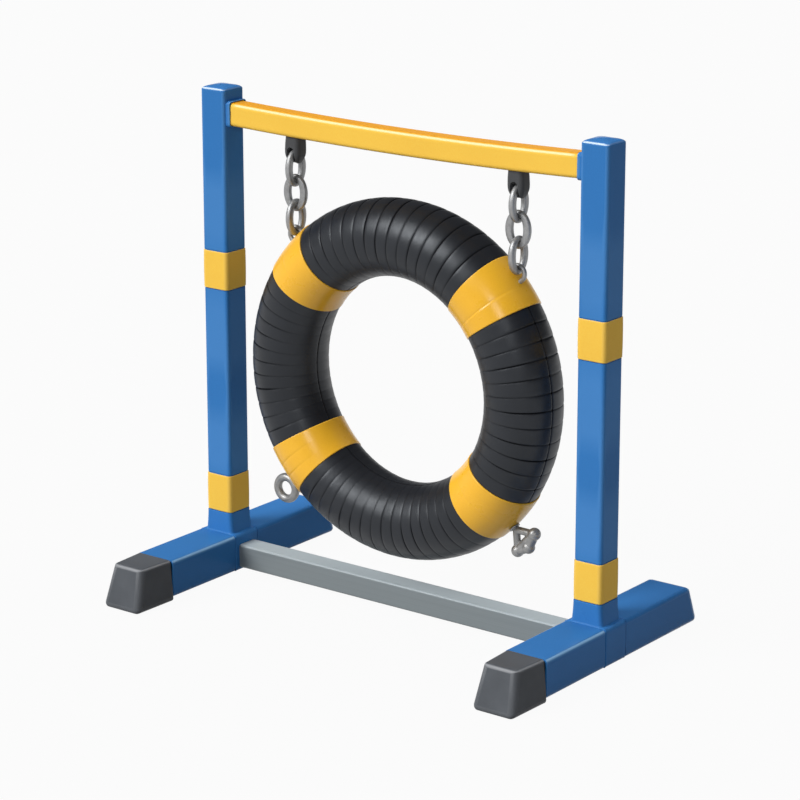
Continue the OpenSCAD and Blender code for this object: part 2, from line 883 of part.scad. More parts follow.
module stud_nuts() {
    color([0.72, 0.72, 0.72])
        at_studs()
            difference() {
                translate([nut_in, 0, 0])
                    rotate([0, quarter_turn, 0])
                        cylinder(d = nut_af / cos(half_turn / 6), h = nut_h, $fn = 6);
                radial(nut_in - over, nut_in + nut_h + over, 0, stud_d + 2 * stud_clear);
            }
}

side_span = 2 * coupler_angle - coupler_span - 2 * hair;
top_span = half_turn - 2 * coupler_angle - coupler_span - 2 * hair;
top_from = coupler_angle + coupler_span / 2 + hair;

home() post_tube(-1);  // left_post
home() post_tube(1);  // right_post
home() post_cap(-1);  // left_post_cap
home() post_cap(1);  // right_post_cap
home() band(-1, upper_band_z);  // left_upper_band
home() band(-1, lower_band_z);  // left_lower_band
home() band(1, upper_band_z);  // right_upper_band
home() band(1, lower_band_z);  // right_lower_band
home() crossbar();
home() bar_cup(-1);  // left_bar_cup
home() bar_cup(1);  // right_bar_cup
home() cup_screws();
home() mirror([1, 0, 0]) hanger_shape();  // left_hanger
home() hanger_shape();  // right_hanger
home() hanger_screws();
home() hanger_inserts();
home() stretcher();
home() hub(-1);  // left_hub
home() hub(1);  // right_hub
home() front_leg(-1);  // left_front_leg
home() front_leg(1);  // right_front_leg
home() rear_leg(-1);  // left_rear_leg
home() rear_leg(1);  // right_rear_leg
home() toe(-1);  // left_toe
home() toe(1);  // right_toe
home() rear_pads();
home() base_screws();
home() post_screws();
home() link(-1, link1_top, true);  // left_link_1
home() link(-1, link2_top, false);  // left_link_2
home() link(-1, link3_top, true);  // left_link_3
home() link(1, link1_top, true);  // right_link_1
home() link(1, link2_top, false);  // right_link_2
home() link(1, link3_top, true);  // right_link_3
home() hose(top_from, top_span);  // top_hose
home() hose(-side_span / 2, side_span);  // right_hose
home() hose(half_turn + top_from, top_span);  // bottom_hose
home() hose(half_turn - side_span / 2, side_span);  // left_hose
home() coupler(half_turn - coupler_angle, [-staple_r, staple_r]);  // upper_left_coupler
home() coupler(coupler_angle, [-staple_r, staple_r]);  // upper_right_coupler
home() coupler(half_turn + coupler_angle, [0]);  // lower_left_coupler
home() coupler(-coupler_angle, [0]);  // lower_right_coupler
home() mirror([1, 0, 0]) staple_shape();  // left_staple
home() staple_shape();  // right_staple
home() tie_ring();
home() tie_triangle();
home() stud_washers();
home() stud_nuts();
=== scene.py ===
import json
import math
import random

import bmesh
import bpy
from mathutils import Matrix, Vector


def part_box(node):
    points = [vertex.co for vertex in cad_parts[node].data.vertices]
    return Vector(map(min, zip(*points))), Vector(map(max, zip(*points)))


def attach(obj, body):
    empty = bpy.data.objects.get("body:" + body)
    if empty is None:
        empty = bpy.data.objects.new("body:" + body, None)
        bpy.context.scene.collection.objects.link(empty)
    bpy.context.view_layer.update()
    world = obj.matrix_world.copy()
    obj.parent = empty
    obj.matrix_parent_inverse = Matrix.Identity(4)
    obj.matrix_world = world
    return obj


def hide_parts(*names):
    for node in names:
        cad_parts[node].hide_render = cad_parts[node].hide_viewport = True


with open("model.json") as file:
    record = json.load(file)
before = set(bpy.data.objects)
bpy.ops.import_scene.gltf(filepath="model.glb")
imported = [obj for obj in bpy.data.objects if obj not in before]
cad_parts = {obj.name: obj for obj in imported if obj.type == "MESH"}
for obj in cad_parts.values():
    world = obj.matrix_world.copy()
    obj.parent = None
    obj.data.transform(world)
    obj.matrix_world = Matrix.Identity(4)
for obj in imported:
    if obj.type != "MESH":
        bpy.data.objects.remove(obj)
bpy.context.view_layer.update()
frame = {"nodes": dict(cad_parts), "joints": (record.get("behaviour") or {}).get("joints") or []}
mm = 0.001
touch = 1.0 * mm  # places nearer than this count as one
sides = ("left", "right")
levels = ("upper", "lower")
pivots = {joint["name"]: Vector(joint["pos_m"]) for joint in frame["joints"]}


def middle(node):
    low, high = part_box(node)
    return (low + high) / 2


lineY = middle("crossbar").y  # the posts, bar and ring share this line
print("frame loaded,", len(frame["nodes"]), "nodes")


# node helpers for the finishes
def newFinish(name):
    finish = bpy.data.materials.new(name)
    finish.use_nodes = True
    return finish, finish.node_tree, finish.node_tree.nodes["Principled BSDF"]


def addNode(tree, kind, inputs=None, **settings):  # an input is a plain value or another node's socket
    node = tree.nodes.new(kind)
    for key, value in settings.items():
        setattr(node, key, value)
    for key, value in (inputs or {}).items():
        if isinstance(value, bpy.types.NodeSocket):
            tree.links.new(value, node.inputs[key])
        else:
            node.inputs[key].default_value = value
    return node


def patch(tree, where, scale, detail=3.0, rough=0.55):  # a noise field as one number
    noise = addNode(tree, "ShaderNodeTexNoise",
                    {"Vector": where, "Scale": scale, "Detail": detail, "Roughness": rough})
    return noise.outputs["Fac"]


def remap(tree, value, span, to=(0.0, 1.0)):
    node = addNode(tree, "ShaderNodeMapRange", {"Value": value, "From Min": span[0], "From Max": span[1],
                                                "To Min": to[0], "To Max": to[1]})
    return node.outputs["Result"]


def blendColour(tree, share, first, second):
    return addNode(tree, "ShaderNodeMix", {0: share, 6: first, 7: second}, data_type="RGBA").outputs[2]


def combine(tree, kind, first, second):
    return addNode(tree, "ShaderNodeMath", {0: first, 1: second}, operation=kind).outputs[0]


def product(tree, first, *others):
    for other in others:
        first = combine(tree, "MULTIPLY", first, other)
    return first


def rgba(colour, gain=1.0):
    return [min(1.0, c * gain) for c in colour] + [1.0]


def objectPlace(tree, stretch=None):
    place = addNode(tree, "ShaderNodeTexCoord").outputs["Object"]
    if stretch:
        place = addNode(tree, "ShaderNodeMapping", {"Vector": place, "Scale": stretch}).outputs["Vector"]
    return place


def bumpFrom(tree, shader, height, strength, distance):
    bump = addNode(tree, "ShaderNodeBump", {"Height": height, "Strength": strength, "Distance": distance})
    tree.links.new(bump.outputs["Normal"], shader.inputs["Normal"])


def finishWith(tree, shader, spec, colour, rough):
    tree.links.new(colour, shader.inputs["Base Color"])
    tree.links.new(rough, shader.inputs["Roughness"])
    shader.inputs["Specular IOR Level"].default_value = spec["specular"]


def surface(tree):  # how sharp an edge is here, and how far the face looks up and back
    shape = addNode(tree, "ShaderNodeNewGeometry")
    normal = addNode(tree, "ShaderNodeSeparateXYZ", {0: shape.outputs["Normal"]})
    return shape.outputs["Pointiness"], normal.outputs["Z"], normal.outputs["Y"]


# where edges wear and take a painted highlight: spans of an edge's sharpness, and of how far the surface
# looks up or back
wearAndHighlightSpans = {"rounded": (0.506, 0.513), "sharp": (0.53, 0.55), "upper": (0.3, 0.6), "level": (0.76, 0.93),
             "under": (-0.5, -0.1), "front": (-0.6, -0.2)}


def edgeWearAndHighlight(tree, spec):  # wear together with a painted highlight: most on rounded upper edges, less on upright ones, none on sharp cuts
    crest, upward, backward = surface(tree)
    return product(tree,
                   remap(tree, crest, wearAndHighlightSpans["rounded"]),
                   remap(tree, crest, wearAndHighlightSpans["sharp"], (1.0, 0.0)),
                   remap(tree, upward, wearAndHighlightSpans["upper"], (spec["edgeSide"], spec["edgeShare"])),
                   remap(tree, upward, wearAndHighlightSpans["level"], (1.0, 0.0)),
                   remap(tree, backward, wearAndHighlightSpans["front"], (1.0, spec["edgeBack"])),
                   remap(tree, upward, wearAndHighlightSpans["under"]))


# moulded and painted plastic: cloudy colour, fine speckle, orange peel, rubbed streaks, upper edges worn and
# given a painted highlight, painted shade on top faces
def satinPlastic(name, spec):
    finish, tree, shader = newFinish(name)
    place = objectPlace(tree)
    upward = surface(tree)[1]
    cloud = patch(tree, place, spec["cloudScale"])
    speckle = patch(tree, place, spec["speckleScale"], spec["fineDetail"])
    streak = patch(tree, objectPlace(tree, spec["streakStretch"]), spec["streakScale"], *spec["streakNoise"])
    colour = blendColour(tree, remap(tree, cloud, spec["cloudSpan"]),
                         *[rgba(spec["colour"], gain) for gain in spec["cloudGains"]])
    flecks = remap(tree, speckle, spec["speckleSpan"], (0.0, spec["speckleShare"]))
    colour = blendColour(tree, flecks, colour, rgba(spec["deepColour"]))
    # painted shade: top faces turn towards the deep colour (the bar's deeper orange top)
    paintedTopShade = remap(tree, upward, spec["topSpan"], (0.0, spec["topShare"]))
    colour = blendColour(tree, paintedTopShade, colour, rgba(spec["deepColour"]))
    # edges: wear together with a painted highlight
    colour = blendColour(tree, edgeWearAndHighlight(tree, spec), colour, rgba(spec["edgeColour"]))
    finishWith(tree, shader, spec, colour, remap(tree, streak, spec["streakSpan"], spec["rough"]))
    peel = combine(tree, "ADD", patch(tree, place, spec["peelScale"], spec["fineDetail"]),
                   product(tree, streak, spec["streakRelief"]))
    bumpFrom(tree, shader, peel, spec["peelStrength"], spec["peelDepth"])
    return finish


# each edge colour here is wear together with a painted highlight, near white on the caps' front edges and
# the bar's upper edges
blueSpec = {"colour": (0.042, 0.2, 0.52), "deepColour": (0.012, 0.075, 0.26),
            "cloudScale": 5.0, "cloudSpan": (0.3, 0.7), "cloudGains": (0.97, 1.03),
            "speckleScale": 420.0, "speckleSpan": (0.35, 0.65), "speckleShare": 0.08, "fineDetail": 2.0,
            "streakScale": 26.0, "streakNoise": (4.0, 0.65), "streakSpan": (0.35, 0.75),
            "streakStretch": (1.0, 1.0, 0.12), "streakRelief": 0.12,
            "rough": (0.2, 0.25), "specular": 0.055,
            "peelScale": 900.0, "peelStrength": 0.08, "peelDepth": 0.12 * mm,
            "topSpan": (0.75, 0.97), "topShare": 0.0,
            "edgeShare": 0.6, "edgeSide": 0.14, "edgeBack": 1.0, "edgeColour": (0.22, 0.5, 0.92)}
capSpec = {**blueSpec, "edgeShare": 0.95, "edgeBack": 0.12, "edgeColour": (0.72, 0.86, 1.0)}
footSpec = {**blueSpec, "streakStretch": (1.0, 0.15, 1.0), "rough": (0.22, 0.27), "cloudScale": 7.0,
            "edgeShare": 0.95, "edgeColour": (0.36, 0.66, 1.0)}
hubSpec = {**footSpec, "edgeShare": 0.1, "edgeSide": 0.0}
bandSpec = {**blueSpec, "colour": (0.99, 0.61, 0.088), "deepColour": (0.89, 0.42, 0.018),
            "speckleShare": 0.14, "streakStretch": (0.2, 0.2, 1.0), "cloudScale": 9.0,
            "edgeColour": (1.0, 0.72, 0.25)}
# painted shade: the bar's top faces take the deep orange
barSpec = {**bandSpec, "colour": (0.99, 0.615, 0.09), "deepColour": (0.95, 0.4, 0.012), "topShare": 0.95,
           "streakStretch": (0.1, 1.0, 1.0), "edgeShare": 0.85, "edgeSide": 0.0,
           "edgeColour": (1.0, 0.86, 0.5)}
couplerSpec = {**bandSpec, "colour": (0.95, 0.51, 0.028), "deepColour": (0.84, 0.37, 0.011),
               "speckleShare": 0.2, "streakStretch": (1.0, 1.0, 1.0), "rough": (0.27, 0.32), "specular": 0.5,
               "peelStrength": 0.03, "edgeShare": 0.3, "edgeSide": 0.0, "edgeColour": (0.98, 0.6, 0.1)}
postBlue = satinPlastic("postBlue", blueSpec)
capBlue = satinPlastic("capBlue", capSpec)
footBlue = satinPlastic("footBlue", footSpec)
hubBlue = satinPlastic("hubBlue", hubSpec)
bandYellow = satinPlastic("bandYellow", bandSpec)
barYellow = satinPlastic("barYellow", barSpec)
couplerYellow = satinPlastic("couplerYellow", couplerSpec)


# black rubber of the hose: painted shade makes the grooves and seams dark and takes their shine, rougher in
# the grooves, rubbed smoother on the ribs
def hoseRubber(name, spec):
    finish, tree, shader = newFinish(name)
    place = objectPlace(tree)
    groove = addNode(tree, "ShaderNodeAttribute", attribute_name="groove").outputs["Fac"]  # 1 in a groove
    cloud = patch(tree, place, spec["cloudScale"])
    colour = blendColour(tree, remap(tree, cloud, spec["cloudSpan"]),
                         rgba(spec["colour"]), rgba(spec["wornColour"]))
    # painted shade: grooves and seams are darkened
    colour = blendColour(tree, groove, colour, rgba(spec["grooveShadeColour"]))
    unlit = remap(tree, groove, spec["unlitSpan"], (0.0, spec["unlitShare"]))
    tree.links.new(unlit, shader.inputs["Metallic"])  # black metal, so no shine down in a groove
    scuff = patch(tree, objectPlace(tree, spec["scuffStretch"]), spec["scuffScale"], *spec["scuffNoise"])
    dull = remap(tree, groove, spec["dullSpan"], (0.0, spec["grooveRough"]))
    rough = combine(tree, "MAXIMUM", dull, remap(tree, scuff, spec["cloudSpan"], spec["rough"]))
    finishWith(tree, shader, spec, colour, rough)
    grain = combine(tree, "ADD", patch(tree, place, spec["grainScale"], spec["grainDetail"]),
                    product(tree, scuff, spec["scuffRelief"]))
    bumpFrom(tree, shader, grain, spec["grainStrength"], spec["grainDepth"])
    shader.inputs["Specular Tint"].default_value = rgba(spec["sheenColour"])
    return finish


# the groove colour and the seam share paint shade into the grooves and seams
hoseSpec = {"colour": (0.0095, 0.0106, 0.0138), "wornColour": (0.0145, 0.0158, 0.0202),
            "grooveShadeColour": (0.002, 0.002, 0.003), "sheenColour": (0.9, 0.95, 1.0),
            "cloudScale": 14.0, "cloudSpan": (0.3, 0.7), "unlitSpan": (0.25, 0.95), "unlitShare": 0.92,
            "scuffScale": 60.0, "scuffStretch": (1.0, 0.35, 1.0), "scuffNoise": (4.0, 0.7),
            "scuffRelief": 0.8, "dullSpan": (0.0, 0.8), "grooveRough": 0.85, "rough": (0.36, 0.48),
            "specular": 0.44, "grainScale": 1100.0, "grainDetail": 2.0, "grainStrength": 0.16,
            "grainDepth": 0.15 * mm}
hoseBlack = hoseRubber("hoseBlack", hoseSpec)


# grey rubber and plastic: pebbled skin, paler edges that are wear together with a painted highlight
def greyMould(name, spec):
    finish, tree, shader = newFinish(name)
    place = objectPlace(tree)
    cloud = patch(tree, place, spec["cloudScale"], spec["cloudDetail"])
    colour = blendColour(tree, remap(tree, cloud, spec["cloudSpan"]),
                         *[rgba(spec["colour"], gain) for gain in spec["cloudGains"]])
    # paler edges: wear together with a painted highlight
    colour = blendColour(tree, edgeWearAndHighlight(tree, spec), colour, rgba(spec["edgeColour"]))
    finishWith(tree, shader, spec, colour, remap(tree, cloud, spec["cloudSpan"], spec["rough"]))
    pebble = addNode(tree, "ShaderNodeTexVoronoi", {"Vector": place, "Scale": spec["pebbleScale"]})
    swell = patch(tree, place, spec["pebbleScale"] * spec["swellShare"])
    relief = combine(tree, "ADD", pebble.outputs["Distance"], swell)
    bumpFrom(tree, shader, relief, spec["pebbleStrength"], spec["pebbleDepth"])
    return finish


# edge colours here are wear together with a painted highlight
toeSpec = {"colour": (0.1, 0.108, 0.12), "cloudScale": 18.0, "cloudDetail": 4.0, "cloudSpan": (0.3, 0.7),
           "cloudGains": (0.88, 1.1), "rough": (0.3, 0.42), "specular": 0.08,
           "pebbleScale": 900.0, "pebbleStrength": 0.12, "pebbleDepth": 0.12 * mm, "swellShare": 0.4,
           "edgeShare": 0.45, "edgeSide": 0.04, "edgeBack": 1.0, "edgeColour": (0.55, 0.56, 0.58)}
hangerSpec = {**toeSpec, "colour": (0.075, 0.077, 0.081), "rough": (0.34, 0.46), "specular": 0.12,
              "pebbleScale": 1500.0, "edgeShare": 0.3, "edgeSide": 0.1, "edgeColour": (0.14, 0.14, 0.145)}
toeRubber = greyMould("toeRubber", toeSpec)
hangerGrey = greyMould("hangerGrey", hangerSpec)


# bare metal: clouded roughness, tarnish in the hollows, crests rubbed bright together with a painted
# highlight, painted light on upward faces
def bareMetal(name, spec):
    finish, tree, shader = newFinish(name)
    place = objectPlace(tree, spec["stretch"])
    crest, upward = surface(tree)[:2]
    cloud = patch(tree, place, spec["cloudScale"], *spec["cloudNoise"])
    spangle = addNode(tree, "ShaderNodeTexVoronoi", {"Vector": place, "Scale": spec["spangleScale"]})
    colour = blendColour(tree, remap(tree, cloud, spec["cloudSpan"]),
                         rgba(spec["dullColour"]), rgba(spec["colour"]))
    tone = remap(tree, spangle.outputs["Color"], (0.0, 1.0), (0.0, spec["spangleShare"]))
    colour = blendColour(tree, tone, colour, rgba(spec["colour"], spec["spangleGain"]))
    tarnish = remap(tree, crest, spec["hollowSpan"], (spec["hollowShare"], 0.0))
    colour = blendColour(tree, tarnish, colour, rgba(spec["dullColour"], spec["hollowGain"]))
    # crests: rubbed bright together with a painted highlight
    rubbedCrestHighlight = remap(tree, crest, spec["crestSpan"], (0.0, spec["crestShare"]))
    colour = blendColour(tree, rubbedCrestHighlight, colour, rgba(spec["colour"], spec["crestGain"]))
    # painted light: upward faces turn to the paler top colour
    paintedTopLight = remap(tree, upward, spec["topSpan"], (0.0, spec["topShare"]))
    colour = blendColour(tree, paintedTopLight, colour, rgba(spec["topColour"]))
    finishWith(tree, shader, spec, colour, remap(tree, cloud, spec["roughSpan"], spec["rough"]))
    bumpFrom(tree, shader, patch(tree, place, spec["grainScale"]), spec["grainStrength"], spec["grainDepth"])
    shader.inputs["Metallic"].default_value = spec["metallic"]
    return finish


steelSpec = {"colour": (0.38, 0.385, 0.39), "dullColour": (0.23, 0.23, 0.23), "metallic": 0.65,
             "specular": 0.4, "stretch": None, "cloudScale": 130.0, "cloudNoise": (5.0, 0.65),
             "cloudSpan": (0.3, 0.7), "spangleScale": 420.0, "spangleShare": 0.2, "spangleGain": 1.25,
             "hollowSpan": (0.4, 0.5), "hollowShare": 0.75, "hollowGain": 0.45,
             "crestSpan": (0.515, 0.54), "crestShare": 0.5, "crestGain": 1.3,
             "rough": (0.36, 0.56), "roughSpan": (0.25, 0.75),
             "grainScale": 900.0, "grainStrength": 0.2, "grainDepth": 0.1 * mm,
             "topSpan": (0.35, 0.95), "topShare": 0.0, "topColour": (0.5, 0.5, 0.5)}
eyeSpec = {**steelSpec, "colour": (0.36, 0.36, 0.355), "metallic": 0.6, "cloudScale": 90.0,
           "spangleScale": 500.0, "spangleShare": 0.1, "rough": (0.34, 0.5),
           "grainScale": 700.0, "grainStrength": 0.1}
# the rail's paler top colour is painted light on its top faces
railSpec = {**steelSpec, "colour": (0.23, 0.26, 0.272), "dullColour": (0.212, 0.24, 0.252), "metallic": 0.1,
            "specular": 0.15, "stretch": (0.04, 14.0, 14.0), "cloudScale": 30.0, "spangleScale": 60.0,
            "spangleShare": 0.025, "rough": (0.28, 0.38), "grainScale": 60.0,
            "grainStrength": 0.025, "topShare": 0.9, "topColour": (0.5, 0.565, 0.595)}
zincSpec = {**steelSpec, "colour": (0.66, 0.67, 0.68), "dullColour": (0.45, 0.46, 0.47), "metallic": 1.0,
            "cloudScale": 160.0, "spangleScale": 600.0, "spangleShare": 0.15, "rough": (0.26, 0.41),
            "grainStrength": 0.1}
chainSteel = bareMetal("chainSteel", steelSpec)
eyeSteel = bareMetal("eyeSteel", eyeSpec)
railSilver = bareMetal("railSilver", railSpec)
hardwareZinc = bareMetal("hardwareZinc", zincSpec)
print("finishes made")


# mesh helpers
meshShape = {"weld": 1e-6, "crease": 38, "cornerSteps": 8, "flatShares": (0.1, 0.9), "wireSides": 24,
             "endStep": 0.4 * mm, "stations": 8, "flatInset": 0.5 * mm, "flatWidths": 5, "ease": 0.5}


def meshPiece(name, verts, faces):
    mesh = bpy.data.meshes.new(name)
    mesh.from_pydata([tuple(v) for v in verts], [], faces)
    work = bmesh.new()
    work.from_mesh(mesh)
    bmesh.ops.remove_doubles(work, verts=work.verts, dist=meshShape["weld"])
    bmesh.ops.recalc_face_normals(work, faces=work.faces)
    work.to_mesh(mesh)
    work.free()
    piece = bpy.data.objects.new(name, mesh)
    bpy.context.scene.collection.objects.link(piece)
    return piece


def dress(piece, body, slot, finish, *nodes, crease=meshShape["crease"]):
    piece.data.materials.clear()
    piece.data.materials.append(finish)
    piece.data.shade_smooth()
    piece.data.set_sharp_from_angle(angle=math.radians(crease))
    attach(piece, body)
    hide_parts(*nodes)


def settle(piece):  # turns the modifiers into plain mesh
    view = bpy.context.evaluated_depsgraph_get()
    mesh = bpy.data.meshes.new_from_object(piece.evaluated_get(view))
    piece.modifiers.clear()
    piece.data = mesh


def skin(rings, closed=False):  # verts and faces over a row of rings, with end faces if it is open
    count, rows = len(rings[0]), len(rings)
    verts = [p for ring in rings for p in ring]
    faces = []
    for i in range(rows if closed else rows - 1):
        a, b = i * count, (i + 1) % rows * count
        for j in range(count):
            k = (j + 1) % count
            faces.append((a + j, a + k, b + k, b + j))
    if not closed:
        faces.append(tuple(range(count - 1, -1, -1)))
        faces.append(tuple(range(len(verts) - count, len(verts))))
    return verts, faces


def skinPiece(name, rings, closed=False):
    return meshPiece(name, *skin(rings, closed))


def circle(count):  # points of a unit circle
    return [(math.cos(2 * math.pi * k / count), math.sin(2 * math.pi * k / count)) for k in range(count)]


def roundSquare(width, height, radius):  # outline about the origin, anticlockwise
    points, steps = [], meshShape["cornerSteps"]
    for quarter, (sx, sy) in enumerate([(1, 1), (-1, 1), (-1, -1), (1, -1)]):
        cx, cy = sx * (width / 2 - radius), sy * (height / 2 - radius)
        for i in range(steps + 1):
            turn = math.pi / 2 * (quarter + i / steps)
            points.append((cx + radius * math.cos(turn), cy + radius * math.sin(turn)))
        ex, ey = points[-1]
        flatX, flatY = (-2 * cx, 0) if sx == sy else (0, -2 * cy)  # the flat side up to the next corner
        points += [(ex + flatX * share, ey + flatY * share) for share in meshShape["flatShares"]]
    return points


def squareRing(axis, centre, at, wide, tall, corner):  # a rounded square across one axis
    points = roundSquare(wide, tall, corner)
    if axis == "x":
        return [Vector((at, centre.y + u, centre.z + v)) for u, v in points]
    if axis == "y":
        return [Vector((centre.x + u, at, centre.z + v)) for u, v in points]
    return [Vector((centre.x + u, centre.y + v, at)) for u, v in points]


def oval(wide, thick, flatness=1.0):  # below 1 its faces are flatter
    points = []
    for u, v in circle(meshShape["wireSides"]):
        u, v = (math.copysign(abs(w) ** flatness, w) for w in (u, v))
        points.append((u * wide / 2, v * thick / 2))
    return points


def rolled(fromEnd, edge):  # how far a rolled edge draws in at this distance from the end
    return edge - math.sqrt(max(0.0, edge ** 2 - max(0.0, edge - fromEnd) ** 2))


def stations(start, end):  # places along a tube, close together at its ends
    near, count = math.copysign(meshShape["endStep"], end - start), meshShape["stations"]
    ahead = 2 * near
    inner = [start + ahead + (end - start - 2 * ahead) * i / count for i in range(count + 1)]
    return [start, start + near, *inner, end - near, end]


def join(target, *others):
    work = bmesh.new()
    for piece in (target, *others):
        work.from_mesh(piece.data)
    work.to_mesh(target.data)
    work.free()
    for piece in others:
        bpy.data.objects.remove(piece)


def cut(piece, tool):
    away = piece.modifiers.new("cut", "BOOLEAN")
    away.operation = "DIFFERENCE"
    away.solver = "EXACT"
    away.object = tool
    settle(piece)
    bpy.data.objects.remove(tool)


def soften(piece, voxel, rounds):  # runs overlapping solids together into one moulded skin
    shell = piece.modifiers.new("shell", "REMESH")
    shell.mode = "VOXEL"
    shell.voxel_size = voxel
    ease = piece.modifiers.new("ease", "SMOOTH")
    ease.factor = meshShape["ease"]
    ease.iterations = rounds
    settle(piece)


def roundEdges(piece, width, segments, keep):  # keep gives an edge's share of the width
    mesh = piece.data
    weights = mesh.attributes.new("bevel_weight_edge", "FLOAT", "EDGE")
    for edge in mesh.edges:
        a, b = (mesh.vertices[i].co for i in edge.vertices)
        weights.data[edge.index].value = keep(a, b)
    bevel = piece.modifiers.new("round", "BEVEL")
    bevel.limit_method = "WEIGHT"
    bevel.width = width
    bevel.segments = segments
    settle(piece)
    work = bmesh.new()
    work.from_mesh(piece.data)
    flats = [face for face in work.faces if face.calc_area() > meshShape["flatWidths"] * width ** 2]
    for _ in range(2):  # two narrow borders keep the edge wear and painted highlight off the flats
        bmesh.ops.inset_individual(work, faces=flats, thickness=meshShape["flatInset"])
    work.to_mesh(piece.data)
    work.free()


def sweep(name, path, across, section, closed=False):  # section(i): offsets in its plane and across
    rings = []
    last = len(path) - 1
    for i, point in enumerate(path):
        ahead = path[(i + 1) % len(path)] if closed or i < last else point
        behind = path[i - 1] if closed or i > 0 else point
        normal = across.cross((ahead - behind).normalized()).normalized()
        rings.append([point + normal * u + across * v for u, v in section(i)])
    return skinPiece(name, rings, closed=closed)


# posts with a shadow groove at both ends of each band, their caps and the bands
postShape = {"corner": 6.0 * mm, "leastCorner": 0.4 * mm, "wall": 2.5 * mm, "plump": 1.5 * mm,
             "groove": 1.0 * mm, "grooveTall": 1.2 * mm, "grooveCornerShare": 0.5,
             "grooveShares": ((-0.8, 0.0), (-0.5, 1.0), (0.75, 1.0), (1.0, 0.0))}  # of its height and depth
capShape = {"start": 2 * mm, "round": 9 * mm, "steps": 8, "cornerShare": 0.6, "dome": 2.2 * mm,
            "domeShares": (0.75, 0.5, 0.25, 0.06), "plugSlip": 0.5 * mm, "plugCorner": 3.0 * mm}
bandShape = {"round": 1.1 * mm, "bulge": 0.3 * mm, "corner": 7.4 * mm, "trim": 0.5 * mm, "slip": 0.1 * mm,
             "steps": 24, "rollPlaces": (0.25 * mm, 0.6 * mm, 1.0 * mm)}


def standingRing(centre, z, width, radius):
    return squareRing("z", centre, z, width, width, max(radius, postShape["leastCorner"]))


def postWidth(side):
    low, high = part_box(side + "_post")
    return high.x - low.x + 2 * postShape["plump"]


def buildPost(side):
    node = side + "_post"
    low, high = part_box(node)
    high.z -= capShape["start"]
    centre, width = middle(node), postWidth(side)
    bore = width - 2 * postShape["wall"]
    boreCorner = postShape["corner"] - postShape["wall"]
    places = [(z, 0.0) for z in stations(low.z, high.z)]
    for level in levels:
        bandLow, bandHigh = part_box(f"{side}_{level}_band")
        for edge, away in ((bandLow.z, -postShape["grooveTall"]), (bandHigh.z, postShape["grooveTall"])):
            places += [(edge + away * share, postShape["groove"] * deep)
                       for share, deep in postShape["grooveShares"]]
    rings = [standingRing(centre, low.z, bore, boreCorner)]
    for z, inset in sorted(places):
        corner = postShape["corner"] - postShape["grooveCornerShare"] * inset
        rings.append(standingRing(centre, z, width - 2 * inset, corner))
    rings.append(standingRing(centre, high.z, bore, boreCorner))
    post = skinPiece(side + "PostTube", rings, closed=True)
    dress(post, "frame", "post_blue", postBlue, node)


def buildCap(side):
    node = side + "_post_cap"
    low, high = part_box(node)
    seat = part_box(side + "_post")[1]
    seat.z -= capShape["start"]
    centre, width = middle(side + "_post"), postWidth(side)
    plug = high.x - low.x - 2 * postShape["wall"] - capShape["plugSlip"]
    edge, dome, corner = capShape["round"], capShape["dome"], postShape["corner"]
    crown = high.z - seat.z - dome
    rings = [standingRing(centre, z, plug, capShape["plugCorner"]) for z in (low.z, seat.z)]
    rings.append(standingRing(centre, seat.z, width, corner))
    for i in range(capShape["steps"] + 1):
        turn = math.pi / 2 * i / capShape["steps"]
        inset = edge * (1 - math.cos(turn))
        rings.append(standingRing(centre, seat.z + crown * math.sin(turn), width - 2 * inset,
                                  corner + capShape["cornerShare"] * inset))
    topCorner = corner + capShape["cornerShare"] * edge
    for share in capShape["domeShares"]:  # shallow dome over the middle
        rings.append(standingRing(centre, high.z - dome * share * share,
                                  (width - 2 * edge) * share, topCorner * share))
    cap = skinPiece(side + "PostCap", rings)
    dress(cap, "frame", "post_blue", capBlue, node)


def buildBand(side, level):
    node = f"{side}_{level}_band"
    low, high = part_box(node)
    low.z, high.z = low.z + bandShape["trim"], high.z - bandShape["trim"]
    centre, width = middle(node), high.x - low.x + 2 * postShape["plump"]
    bore = postWidth(side) + bandShape["slip"]
    tall, edge = high.z - low.z, bandShape["round"]
    rings = [standingRing(centre, low.z, bore, postShape["corner"])]
    for i in range(bandShape["steps"] + 1):
        t = i / bandShape["steps"]
        inset = rolled(tall * min(t, 1 - t), edge) + bandShape["bulge"] * (2 * t - 1) ** 2
        rings.append(standingRing(centre, low.z + tall * t, width - 2 * inset, bandShape["corner"]))
    for place in bandShape["rollPlaces"]:  # the rolled edges need rings of their own
        inset = rolled(place, edge) + bandShape["bulge"]
        for z in (low.z + place, high.z - place):
            rings.append(standingRing(centre, z, width - 2 * inset, bandShape["corner"]))
    rings[1:] = sorted(rings[1:], key=lambda ring: ring[0].z)
    rings.append(standingRing(centre, high.z, bore, postShape["corner"]))
    band = skinPiece(f"{side}{level.title()}Band", rings, closed=True)
    dress(band, "frame", "band_yellow", bandYellow, node)


for side in sides:
    buildPost(side)
    buildCap(side)
    for level in levels:
        buildBand(side, level)
print("posts dressed")


# bowed crossbar, its cups and the stretcher
barShape = {"bow": 9.3, "corner": 7.0 * mm, "wall": 2.0 * mm, "steps": 48}
cupShape = {"round": 1.0 * mm, "steps": 6, "corner": 6.0 * mm, "cornerShare": 0.4, "floor": 3.0 * mm,
            "trim": 2.6 * mm, "gap": 0.8 * mm, "mouthFlare": 0.4 * mm, "mouthDeep": 0.6 * mm}
railShape = {"corner": 4.0 * mm, "wall": 2.0 * mm}


